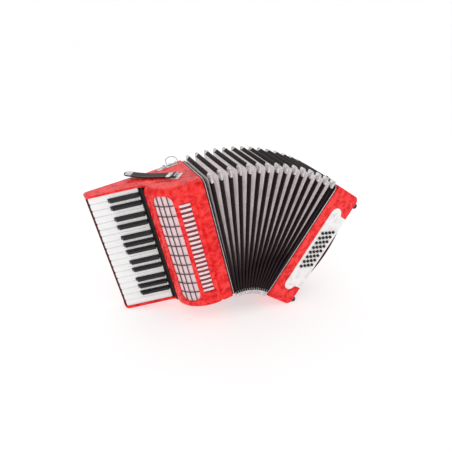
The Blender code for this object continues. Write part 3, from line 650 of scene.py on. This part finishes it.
def make_curve():
    """Plan of the grille as (point, outward normal, running length)."""
    points = [Vector((SIDE + (FLAT_END - SIDE) * i / FLAT_STEPS, -HALF_DEPTH)) for i in range(FLAT_STEPS)]
    for turn in (math.radians(half / 2) for half in range(181)):
        points.append(Vector((FLAT_END - BULGE * math.sin(turn), -HALF_DEPTH * math.cos(turn))))
    points.append(Vector((FLAT_END - BULGE, SEAM)))
    curve = []
    run = 0.0
    for i, here in enumerate(points):
        along = (points[min(i + 1, len(points) - 1)] - points[max(i - 1, 0)]).normalized()
        if i:
            run += (here - points[i - 1]).length
        curve.append((here, Vector((along.y, -along.x)), run))
    return curve


CURVE = make_curve()
RUNS = [run for _, _, run in CURVE]
CURVE_LENGTH = RUNS[-1]
CREASE_RUN = SIDE - GROOVE_X


def curve_run(degrees):
    """Running length at an angle of the grille's ellipse."""
    return RUNS[FLAT_STEPS + round(degrees * 2)]


def on_curve(run, inset=0.0):
    run = min(max(run, 0.0), CURVE_LENGTH)
    low = min(bisect_right(RUNS, run) - 1, len(CURVE) - 2)
    a, b = CURVE[low], CURVE[low + 1]
    share = (run - a[2]) / max(b[2] - a[2], 1e-9)
    normal = a[1].lerp(b[1], share).normalized()
    if normal.x + normal.y > 0:
        normal = -normal
    return a[0].lerp(b[0], share) - normal * inset


def grille_point(run, height):
    """Outer surface of the grille; height runs on round the upper and lower edges."""
    inset, z = 0.0, height
    if height > HEIGHT - ROUND:
        turn = (height - HEIGHT + ROUND) / ROUND
        inset, z = ROUND * (1 - math.cos(turn)), HEIGHT - ROUND + ROUND * math.sin(turn)
    elif height < ROUND_LOW:
        turn = (ROUND_LOW - height) / ROUND_LOW
        inset, z = ROUND_LOW * (1 - math.cos(turn)), ROUND_LOW - ROUND_LOW * math.sin(turn)
    depth = GROOVE[0] * math.exp(-((run - CREASE_RUN) / GROOVE[1]) ** 2)
    x, y = on_curve(run, inset + depth)
    return Vector((x, y, z))


def grille_cuts(strips=72, round_steps=6, crease_step=0.0007, level_step=0.03):
    """Lines (point, direction) that divide the flat grille so that it can be bent."""
    along, up = (1, 0, 0), (0, 1, 0)
    cuts = [((CURVE_LENGTH * i / strips, 0, 0), along) for i in range(1, strips)]
    cuts += [((CREASE_RUN + crease_step * i, 0, 0), along) for i in range(-5, 6)]
    for i in range(round_steps):
        rest = 1 - math.pi / 2 * i / round_steps
        cuts += [((0, ROUND_LOW * rest, 0), up), ((0, HEIGHT - ROUND * rest, 0), up)]
    return cuts + [((0, level_step * i, 0), up) for i in range(1, 11)]


def build_grille():
    """Flat sheet with two openings, divided into strips and bent onto the grille's curve."""
    low = ROUND_LOW * (1 - math.pi / 2)
    high = HEIGHT + ROUND * (math.pi / 2 - 1)
    bm = bmesh.new()
    window_run = curve_run(WINDOW_AT)
    half, window_low, window_high, corner = WINDOW
    louvre = (curve_run(LOUVRES[0]), LOUVRES[1], curve_run(LOUVRES[2]), LOUVRES[3])
    loops = [[(0, low), (CURVE_LENGTH, low), (CURVE_LENGTH, high), (0, high)],
             round_box(window_run - half, window_low, window_run + half, window_high, corner, 8),
             round_box(*louvre, 0.004, 4)]
    edges = []
    for loop in loops:
        verts = [bm.verts.new((a, b, 0)) for a, b in loop]
        edges += [bm.edges.new((verts[i - 1], verts[i])) for i in range(len(verts))]
    bmesh.ops.triangle_fill(bm, edges=edges, use_beauty=True)
    for spot, normal in grille_cuts():
        bmesh.ops.bisect_plane(bm, geom=bm.verts[:] + bm.edges[:] + bm.faces[:], plane_co=spot,
                               plane_no=normal, dist=1e-6)
    ends = [sorted((v for v in bm.verts if abs(v.co.y - level) < 1e-6), key=lambda v: v.co.x)
            for level in (low, high)]
    for vert in bm.verts:
        vert.co = grille_point(vert.co.x, vert.co.y)
    for ring in ends:
        corner = bm.verts.new((SIDE, SEAM, ring[0].co.z))
        bm.faces.new(ring + [corner])
    bmesh.ops.transform(bm, matrix=TREBLE, verts=bm.verts[:])
    bmesh.ops.recalc_face_normals(bm, faces=bm.faces[:])
    front = min(bm.faces, key=lambda f: f.calc_center_median().y)
    if front.normal.y > 0:
        bmesh.ops.reverse_faces(bm, faces=bm.faces[:])
    mesh = bpy.data.meshes.new("grille_shell")
    bm.to_mesh(mesh)
    bm.free()
    mesh.materials.append(MATERIALS["red"])
    mesh.shade_smooth()
    mesh.set_sharp_from_angle(angle=math.radians(38))
    shell = link("grille_shell", mesh)
    thick = shell.modifiers.new("Thickness", "SOLIDIFY")
    thick.thickness = GRILLE_THICKNESS
    thick.offset = -1
    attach(shell, "treble")
    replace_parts(shell, "treble_grille")
    build_lattice(window_run)
    build_louvres(louvre)


def curved_bar(run0, run1, z0, z1, near, far, steps):
    """Bar on the grille's curve between two insets."""
    rows = []
    for i in range(steps + 1):
        run = run0 + (run1 - run0) * i / steps
        a, b = on_curve(run, near), on_curve(run, far)
        rows.append([(*a, z0), (*a, z1), (*b, z1), (*b, z0)])
    return skin(rows)


def build_lattice(middle):
    """Three bars along the window and ten across it."""
    half, low, high, corner = WINDOW
    thin, spacing, spaces = 0.0009, 0.0135, 11
    shape = Shape()

    def cut_off(inside):
        """How far the round corner moves an end, seen from a bar this far from the straight side."""
        return corner - math.sqrt(max(corner ** 2 - max(corner - inside, 0) ** 2, 0))

    def add_bar(run0, run1, z0, z1, near, far, steps):
        made = curved_bar(run0 - thin, run1 + thin, z0 - thin, z1 + thin, near, far, steps)
        shape.add(made, 0, TREBLE)

    for offset in (-spacing, 0.0, spacing):
        end = cut_off(half - abs(offset))
        add_bar(middle + offset, middle + offset, low + end, high - end, 0.0006, 0.0028, 1)
    for i in range(1, spaces):
        z = low + (high - low) * i / spaces
        width = half - cut_off(min(z - low, high - z))
        add_bar(middle - width, middle + width, z, z, 0.0009, 0.0026, 18)
    shape.build("grille_lattice", ("lattice",), "treble", 50)


def build_louvres(opening):
    """Convex fins across the long opening beside the window, with a dark sheet behind them that paints the
    shade between the fins.
    """
    start, low, end, high = opening
    overlap, shade_overlap, steps = 0.0006, 0.003, 12
    shape = Shape()
    pitch = (high - low) / LOUVRE_COUNT
    for i in range(LOUVRE_COUNT):
        middle = low + pitch * (i + 0.5)
        runs = [start - overlap + (end - start + 2 * overlap) * k / steps for k in range(steps + 1)]
        rows = [[(*on_curve(run, inset), middle + height) for height, inset in LOUVRE_EDGE] for run in runs]
        shape.add(skin(rows), 0, TREBLE)
    shape.build("louvre_fins", ("fin",), "treble", 50)
    # the dark sheet is painted shade, seen between the fins
    back = curved_bar(start - shade_overlap, end + shade_overlap, low - shade_overlap, high + shade_overlap,
                      0.0031, 0.0037, 8)
    Shape().add(back, 0, TREBLE).build("louvre_painted_shade", ("shade",), "treble", 50)


# --- keyboard ---
KEY_START = 0.0245  # from the axle, outwards
WHITE_END = 0.1448
BLACK_END = 0.0995
KEY_TOP = 0.007  # from the axle, off the face of the keyboard
KEY_BOTTOM = -0.005
BLACK_TOP = 0.0155
BLACK_WIDTH = 0.0096
BLACK_LEVELS = ((KEY_BOTTOM, 0, 0), (KEY_TOP, 0, 0), (0.0146, 0.0008, 0.0044), (0.01523, 0.0011, 0.0048),
                (BLACK_TOP, 0.0018, 0.0056))  # level, trim of the sides, trim of the front
HUB = 0.0045  # radius of a key's hub on the axle
PALLET = ((-0.072, 0.0232), (-0.084, 0.0232), (-0.084, 0.0125))  # in the frame of the treble box
LEVER_TOP = (-0.072, 0.0070)
LEVER_HALF = 0.003
KEY_GAP = 0.0004  # half the gap between two white keys
BLACK_GAP = 0.0007  # between a black key and its neighbours
NOTCH = BLACK_END + 0.001
WHITE_ROUND = 0.0032  # radius of a white key's front corners
BED_CHEEK = 0.0062  # clearance of the felts from the ends of the keyboard
RAIL_CHEEK = 0.0042


def white_centre(index):
    return (HEIGHT + len(WHITE_NAMES) * PITCH) / 2 - (index + 0.5) * PITCH


def black_centre(index):
    return white_centre(index) - PITCH * (0.5 + BLACK_OFFSETS[WHITE_NAMES[index]])


def has_black_below(index):
    return index < len(WHITE_NAMES) - 1 and WHITE_NAMES[index] in BLACK_OFFSETS


# Takes an outline (out, up the keyboard) and its height off the face.
KEY_FACE = KEYS @ axes((1, 0, 0), (0, 0, 1), (0, 1, 0))


def lever(height):
    """Wooden arm behind a key, from its hub to its pallet."""
    def from_treble(x, y):
        dx, dy = x - AXLE[0], y - AXLE[1]
        return (dy * math.sin(TILT) - dx * math.cos(TILT), -dx * math.sin(TILT) - dy * math.cos(TILT))

    outline = [(0.030, 0.0030), *arc((0, 0), HUB, 42, 161, 6), from_treble(*LEVER_TOP)]
    outline += [from_treble(x, y) for x, y in PALLET]
    outline += [*arc((0, 0), HUB, 206, 297, 5), (0.030, -0.0040)]
    return slab(outline, height - LEVER_HALF, height + LEVER_HALF)


def finish_key(shape, colour, number, height):
    """Adds the lever and puts the key in the place of its CAD node."""
    node = f"{colour}_key_{number:02d}"
    shape.add(lever(height), 1, KEYS)
    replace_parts(shape.build(node + "_finished", (colour + "_key", "wood"), node), node)


def build_white_key(index):
    centre = white_centre(index)
    half = PITCH / 2 - KEY_GAP
    gap = BLACK_WIDTH / 2 + BLACK_GAP
    above, below = centre + half, centre - half
    if index > 0 and has_black_below(index - 1):
        above = black_centre(index - 1) - gap
    if has_black_below(index):
        below = black_centre(index) + gap
    corner = WHITE_ROUND
    outline = [(KEY_START, below)]
    if below > centre - half:
        outline += [(NOTCH, below), (NOTCH, centre - half)]
    outline += arc((WHITE_END - corner, centre - half + corner), corner, -90, 0, 4)
    outline += arc((WHITE_END - corner, centre + half - corner), corner, 0, 90, 4)
    if above < centre + half:
        outline += [(NOTCH, centre + half), (NOTCH, above)]
    outline += [(KEY_START, above)]
    shape = Shape().add(slab(outline, KEY_BOTTOM, KEY_TOP, 0.0010), 0, KEY_FACE)
    finish_key(shape, "white", index + 1, (above + below) / 2)


def build_black_key(number, index):
    centre = black_centre(index)
    half = BLACK_WIDTH / 2
    rows = []
    for level, trim, back in BLACK_LEVELS:
        box = round_box(KEY_START, centre - half + trim, BLACK_END - back, centre + half - trim, 0.0012, 3)
        rows.append([(x, z, level) for x, z in box])
    finish_key(Shape().add(skin(rows), 0, KEY_FACE), "black", number, centre)


def build_keyboard():
    for index in range(len(WHITE_NAMES)):
        build_white_key(index)
    with_black = [index for index in range(len(WHITE_NAMES)) if has_black_below(index)]
    for number, index in enumerate(with_black, start=1):
        build_black_key(number, index)
    strip = [(-0.1306, 0.0), (-0.1306, 0.0135), (-0.1322, 0.0135), (-0.1322, 0.0)]
    felt = Shape().add(slab(strip, BED_CHEEK, HEIGHT - BED_CHEEK), 0, TREBLE)
    flat = round_box(0.0105, BED_CHEEK, KEY_START - 0.0006, HEIGHT - BED_CHEEK, 0.0003)
    felt.add(slab(flat, 0.0036, 0.0050, 0.0003), 0, KEY_FACE)
    felt.build("key_slot_felt", ("felt",), "treble")
    # painted shade: the dark maroon rail beyond the white key ends stands for the shaded outer lip of the
    # keyboard bed
    flat = round_box(WHITE_END + 0.0005, RAIL_CHEEK, WHITE_END + 0.0062, HEIGHT - RAIL_CHEEK, 0.0010)
    rail = Shape().add(slab(flat, -0.008, KEY_TOP - 0.0045, 0.0008), 0, KEY_FACE)
    rail.build("keyboard_rail_painted_shade", ("maroon",), "treble")


# --- straps and fittings ---
def stitches(shape, runs, finish, matrix, pitch=0.0036, length=0.0022, radius=0.00035):
    """Rows of stitches; each run is (start, end, normal) in the frame of `matrix`."""
    for start, end, normal in runs:
        start, end, normal = Vector(start), Vector(end), Vector(normal)
        count = max(int((end - start).length / pitch), 1)
        along = (end - start).normalized()
        for i in range(count):
            middle = start + (end - start) * (i + 0.5) / count
            path = [middle + along * length * share + normal * radius * up
                    for share, up in ((-0.5, -1), (-0.3, 1), (0.3, 1), (0.5, -1))]
            shape.add(tube(path, radius, 6), finish, matrix)


TOP_STRAP = (0.140, 0.011, 0.0026)  # length from the hinge, half-width, thickness
HINGE_RISE = 0.006  # of the strap's hinge above the box
SPRING = (0.070, 0.0085)  # where the strap leaves the box, how far its end springs up
SNAP_DOME = ((1, 0.0004), (1, 0.0017), (0.93, 0.0024), (0.7, 0.0030), (0.35, 0.0032), (0.3, 0.0026),
             (0.05, 0.0025))
SWIVEL_POST = ((1, 0.0010), (1, 0.0022), (0.62, 0.0025), (0.58, 0.0031), (0.4, 0.0035), (0.05, 0.0036))


def build_top_strap():
    """The unfastened strap, drawn along x from its hinge."""
    place = (TREBLE @ Matrix.Translation((*STRAP_AT, HEIGHT + HINGE_RISE))
             @ Matrix.Rotation(math.pi - STRAP_SKEW, 4, "Z"))
    length, half, thick = TOP_STRAP
    rest = 0.0017 - HINGE_RISE + GAP
    soft = 0.0007

    def level(x):
        return rest + SPRING[1] * max(0.0, (x - SPRING[0]) / (length - SPRING[0])) ** 1.5

    stations = [(0.014 + 0.0095 * i, half) for i in range(13)]
    stations += [(length - half + half * math.sin(turn), half * math.cos(turn))
                 for turn in (math.radians(degrees) for degrees in range(0, 85, 12))]
    rows = []
    for x, wide in stations:
        edge = ((wide - soft, thick), (wide, thick - soft), (wide, soft), (wide - soft, 0))
        around = [(-y, z) for y, z in reversed(edge)] + list(edge)
        rows.append([(x, y, level(x) + z) for y, z in around])
    shape = Shape().add(skin(rows), 0, place)
    bend = []
    for x, z in ((0.0, 0.0004), (0.004, -0.0006), (0.009, rest + 0.0021), (0.0145, rest + 0.0013)):
        bend.append([(x, y, z + up) for y, up in ((-half, 0.0011), (half, 0.0011), (half, -0.0011),
                                                  (-half, -0.0011))])
    shape.add(skin(bend), 0, place)
    for edge in (0.0022 - half, half - 0.0022):
        line = [(x, edge, level(x) + thick) for x in (0.026 + 0.0094 * i for i in range(12))]
        for a, b in zip(line, line[1:]):
            stitches(shape, [(a, b, (0, 0, 1))], 1, place, pitch=0.0042)
    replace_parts(shape.build("top_strap_leather", ("strap", "thread"), "top_strap"), "top_bellows_strap")
    metal = Shape()
    slope = math.atan2(level(length) - level(length - 0.020), 0.020)
    snap_x = length - 0.012
    snap = (place @ Matrix.Translation((snap_x, 0, level(snap_x) + 0.0023))
            @ Matrix.Rotation(-slope, 4, "Y"))
    metal.add(slab(round_box(-0.009, -0.0085, 0.008, 0.0085, 0.003), 0.0, 0.0009, 0.0003), 0, snap)
    metal.add(stud(0.0070, SNAP_DOME), 0, snap)
    clip = round_box(0.012, -half - 0.0006, 0.024, half + 0.0006, 0.0012)
    metal.add(slab(clip, rest + 0.0020, rest + 0.0034, 0.0005), 0, place)
    metal.add(tube([(0.0, -half, 0.0003), (0.0, half, 0.0003)], 0.0017, 12), 0, place)
    metal.build("top_strap_metal", ("nickel",), "top_strap")


def build_anchor():
    """Plate with the swivel post that carries the strap's pin."""
    place = TREBLE @ Matrix.Translation((*STRAP_AT, HEIGHT)) @ Matrix.Rotation(-STRAP_SKEW, 4, "Z")
    top = 0.0016
    shape = Shape()
    shape.add(slab(round_box(-0.009, -0.0150, 0.011, 0.0150, 0.003), GAP, top, 0.0005), 0, place)
    shape.add(stud(0.0052, SWIVEL_POST), 0, place)
    for y in (-0.009, 0.009):
        screw(shape, place, (0.0075, y, top), 0.0021)
    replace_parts(shape.build("top_strap_plate", ("nickel",), "treble"), "top_strap_anchor")


LOOP_Y = 0.064  # of the axis on which the wire loops for the shoulder straps turn
LOOP_RISE = 0.0022  # of that axis above the box
BOSS = ((1, 0.0004), (1, 0.0030), (0.8, 0.0044), (0.5, 0.0046), (0.45, 0.0070), (0.3, 0.0080),
        (0.05, 0.0082))


def build_shoulder_bracket(name, x, base, up, lean_back):
    """Cast lug with two arms and the wire loop that turns in it; up is -1 below the box."""
    half, straight, plate_top = 0.014, 0.0094, 0.0009
    place = TREBLE @ Matrix.Translation((x, LOOP_Y, base + LOOP_RISE * up))
    turned = place @ Matrix.Rotation(math.radians(-lean_back), 4, "X")
    path = [(-half, 0, 0), (0, 0, 0), (half, 0, 0), (half, 0, straight * up)]
    path += [(a, 0, b * up) for a, b in arc((0, straight), half, 12, 168, 12)]
    path.append((-half, 0, straight * up))
    loop = Shape().add(tube(path, 0.0014, 10, True), 0, turned).build(name + "_wire", ("nickel",), name, 60)
    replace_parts(loop, name)
    shape = Shape()
    flat = TREBLE @ Matrix.Translation((x, LOOP_Y, base)) @ axes((1, 0, 0), (0, up, 0), (0, 0, up))
    shape.add(slab(round_box(-0.0420, -0.009, 0.0125, 0.006, 0.004), GAP, plate_top, 0.0003), 0, flat)
    shape.add(stud(0.0062, BOSS), 0, flat @ Matrix.Translation((-0.0235, -0.0015, 0)))
    screw(shape, flat, (-0.0365, -0.0015, plate_top), 0.0026)
    arch = [(0.0036, 0.0004), *arc((0, LOOP_RISE), 0.0034, 0, 180, 10), (-0.0036, 0.0004)]
    arm_width = 0.0044
    for middle in (-0.0075, 0.0075):
        shape.add(slab(arch, 0.0, arm_width, 0.0003), 0, flat @ facing_x(middle - arm_width / 2, 0, 0))
    screw(shape, flat, (0, -0.0055, plate_top), 0.0022)
    shape.build(name + "_lug", ("nickel",), "treble")


def build_bass_strap():
    """Leather hand strap with a dark lining and stitched edges."""
    low, high, bulge = 0.026, HEIGHT - 0.032, 0.025
    flat_end, steps = 0.014, 30
    base = BASS_WIDTH + 0.0019  # x of the strap's middle where it lies on the box
    path = [(base, low), (base, low + 0.008), (base, low + flat_end)]
    for share in (i / steps for i in range(1, steps)):
        path.append((base + bulge * math.sin(math.pi * share) ** 0.8,
                     low + flat_end + (high - low - 2 * flat_end) * share))
    path += [(base, high - flat_end), (base, high - 0.006), (base, high)]
    front, back = -0.046, 0.036
    thick = 0.0015  # from the middle to the outer face
    section = ((front, 0.0003), (front + 0.0012, 0.0013), (front + 0.006, thick), (back - 0.006, thick),
               (back - 0.0012, 0.0013), (back, 0.0003), (back, -0.0009), (back - 0.0010, -0.0014),
               (front + 0.0010, -0.0014), (front, -0.0009))
    rows = []
    seams = {front + 0.0035: [], back - 0.0035: []}
    for i, (x, z) in enumerate(path):
        along = (Vector(path[min(i + 1, len(path) - 1)]) - Vector(path[max(i - 1, 0)])).normalized()
        out = Vector((along.y, -along.x))
        rows.append([(x + out.x * up, y, z + out.y * up) for y, up in section])
        for y, line in seams.items():
            line.append(Vector((x + out.x * thick, y, z + out.y * thick)))
    finishes = ([0] * 6 + [1, 1, 1, 0]) * (len(rows) - 1) + [0, 0]
    shape = Shape().add(skin(rows), finishes, BASS)
    for line in seams.values():
        for a, b in zip(line[2:-2], line[3:-2]):
            normal = Vector(((b - a).z, 0, -(b - a).x)).normalized()
            stitches(shape, [(a, b, normal)], 2, BASS, pitch=0.0045, length=0.0028, radius=0.0004)
    strap = shape.build("bass_strap_leather", ("maroon", "lining", "thread"), "bass")
    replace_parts(strap, "bass_strap")
    plates = Shape()
    plate_top = 0.0012
    for z in (low + flat_end / 2, high - flat_end / 2):
        flat = BASS @ facing_x(BASS_WIDTH + 0.0035, 0, z)
        plates.add(slab(round_box(-0.046, -0.0045, 0.032, 0.0045, 0.002), 0.0, plate_top, 0.0004), 0, flat)
        for y in (-0.038, -0.007, 0.024):
            screw(plates, flat, (y, 0, plate_top), 0.0022)
    plates.build("bass_strap_plates", ("nickel",), "bass")


FOOT = ((1, 0), (1, 0.0070), (0.96, 0.0092), (0.86, 0.0108), (0.68, 0.0118), (0.3, 0.0122),
        (0.05, 0.0122))
SNAP_STUD = ((1, GAP), (1, 0.0010), (0.7, 0.0022), (0.62, 0.0044), (0.66, 0.0056), (0.5, 0.0066),
             (0.1, 0.0070))
BUTTON = ((1, -0.008), (1, 0.0055), (0.94, 0.0062), (0.75, 0.0067), (0.4, 0.0070), (0.05, 0.0070))
AIR_BUTTON = ((1.416, -0.0095), (1.416, -0.0065), (1, -0.0064), (1, 0.0048), (0.94, 0.0056),
              (0.8, 0.0060), (0.3, 0.0055), (0.05, 0.0054))


def build_buttons():
    """Rows of eight buttons, each row on a bar behind the panel."""
    bar_half, overhang = 0.0025, 0.004
    for row, x in enumerate(BUTTON_ROWS):
        first = BUTTON_FIRST + row * BUTTON_SLANT
        last = first + (BUTTON_COUNT - 1) * BUTTON_PITCH
        buttons = Shape()
        for column in range(BUTTON_COUNT):
            place = BASS_FRONT @ Matrix.Translation((x, first + column * BUTTON_PITCH, 0))
            buttons.add(stud(BUTTON_RADIUS, BUTTON, 20), 0, place)
        bar = round_box(x - bar_half, first - overhang, x + bar_half, last + overhang, 0.001)
        buttons.add(slab(bar, -0.010, -0.006), 0, BASS_FRONT)
        made = buttons.build(f"bass_buttons_{row + 1}", ("black_key",), f"bass_button_row_{row + 1}")
        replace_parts(made, f"bass_button_row_{row + 1}")


def build_bass_fittings():
    """Feet, the stud for the top strap, the buttons and the screws of their panel."""
    feet = Shape()
    for y in (-0.058, 0.058):
        for z in (0.016, HEIGHT - 0.022):
            feet.add(stud(0.0076, FOOT), 0, BASS @ facing_x(BASS_WIDTH + GAP, y, z))
    feet.build("bass_feet", ("rubber",), "bass")
    top = BASS @ Matrix.Translation((0.020, 0.0, HEIGHT))
    Shape().add(stud(0.0062, SNAP_STUD), 0, top).build("top_snap_stud", ("rubber",), "bass")
    build_buttons()
    place = BASS @ facing_x(BASS_WIDTH, 0.040, HEIGHT - 0.058)
    air = Shape().add(stud(0.0060, AIR_BUTTON, 28), 0, place)
    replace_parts(air.build("air_button_cap", ("black_key",), "air_button"), "air_button")
    ring = [(*spot, 0.0006) for spot in arc((0, 0), 0.0078, 0, 360, 32)[:-1]]
    ring = Shape().add(tube(ring, 0.0009, 8, True), 0, place)
    ring.build("air_button_ring", ("nickel",), "bass", 60)
    pins = Shape()
    for z in (0.052, 0.270):
        screw(pins, BASS_FRONT, (0.052, z, 0.0023), 0.0016)
    pins.build("panel_screws", ("nickel",), "bass")


# --- finishes of the CAD nodes that stay ---
STAY = {  # node: finish, width of its bevels
    "treble_body": ("red", 0.0012), "keyboard_bed": ("red", 0.0014), "bass_body": ("red", 0.0010),
    "bass_cover": ("red", 0.0010), "bass_button_panel": ("panel", 0.0), "grille_cloth": ("cloth", 0.0),
    "key_axle": ("nickel", 0.0), "treble_soundboard": ("wood", 0.0), "treble_reed_block": ("wood", 0.0),
    "bass_reed_block": ("wood", 0.0), "strap_adjuster_wheel": ("nickel", 0.0004)}


def dress_nodes():
    for name, (finish, edge) in STAY.items():
        node = NODES[name]
        node.data.materials.clear()
        node.data.materials.append(MATERIALS[finish])
        if edge:
            weld = node.modifiers.new("Weld", "WELD")
            weld.merge_threshold = 0.00002
            bevel = node.modifiers.new("Bevel", "BEVEL")
            bevel.width = edge
            bevel.segments = 3
            bevel.limit_method = "ANGLE"
            bevel.angle_limit = math.radians(35)
            bevel.harden_normals = True


# --- stage ---
FLOOR_HALF = 30
LIGHTS = (("key", (-1.1, -1.5, 1.9), 1.4, 6), ("fill", (1.6, -1.2, 1.3), 1.4, 2.5),
          ("back", (0.2, 1.6, 1.8), 1.6, 4))  # name, place, size, power
LIGHT_TARGET = Vector((0, 0, 0.2))
ROLL = math.radians(13.46)
CAMERA_FROM_APEX = (-0.5520, -1.2603, 0.8848)
AZIMUTH, ELEVATION = math.radians(-22.93), math.radians(24.68)
LENS = 47.98


def build_stage():
    corners = [(x * FLOOR_HALF, y * FLOOR_HALF, 0) for x, y in ((-1, -1), (1, -1), (1, 1), (-1, 1))]
    mesh = bpy.data.meshes.new("floor")
    mesh.from_pydata(corners, [], [(0, 1, 2, 3)])
    paint = Paint("floor_paint", Roughness=0.9, Specular_IOR_Level=0.1, Emission_Color=(1, 1, 1, 1),
                  Emission_Strength=0.54)
    paint.colour(paint.ramp(paint.noise(3.0, 2.0), (0.3, grey(0.58)), (0.7, grey(0.60))))
    mesh.materials.append(paint.material)
    link("floor", mesh)
    world = bpy.data.worlds.new("studio")
    bpy.context.scene.world = world
    world.use_nodes = True
    background = world.node_tree.nodes["Background"]
    background.inputs["Color"].default_value = (1, 1, 1, 1)
    background.inputs["Strength"].default_value = 0.76
    for name, spot, size, power in LIGHTS:
        data = bpy.data.lights.new(name, "AREA")
        data.size = size
        data.energy = power
        light = link(name, data)
        light.location = spot
        light.rotation_euler = (LIGHT_TARGET - Vector(spot)).to_track_quat("-Z", "Y").to_euler()


def build_camera():
    """Camera at its angle to the instrument, whatever the lean of the instrument on the floor."""
    towards = Vector((-math.sin(AZIMUTH) * math.cos(ELEVATION), math.cos(AZIMUTH) * math.cos(ELEVATION),
                      -math.sin(ELEVATION)))
    data = bpy.data.cameras.new("camera")
    data.lens = LENS
    data.sensor_width = 36.0
    camera = link("camera", data)
    camera.matrix_world = (Matrix.Translation(APEX) @ Matrix.Rotation(ROLL - LEAN, 4, "Y")
                           @ Matrix.Translation(CAMERA_FROM_APEX)
                           @ towards.to_track_quat("-Z", "Y").to_matrix().to_4x4())
    bpy.context.scene.camera = camera
    bpy.context.scene.view_settings.view_transform = "Standard"


build_bellows()
build_bottom_strap()
build_end_frame("treble", TREBLE, -1)
build_end_frame("bass", BASS, 1)
build_grille()
build_keyboard()
build_top_strap()
build_anchor()
build_shoulder_bracket("shoulder_loop_top", -0.031, HEIGHT, 1, 62)
build_shoulder_bracket("shoulder_loop_bottom", -0.070, 0.0, -1, 0)
build_bass_strap()
build_bass_fittings()
dress_nodes()
build_stage()
build_camera()
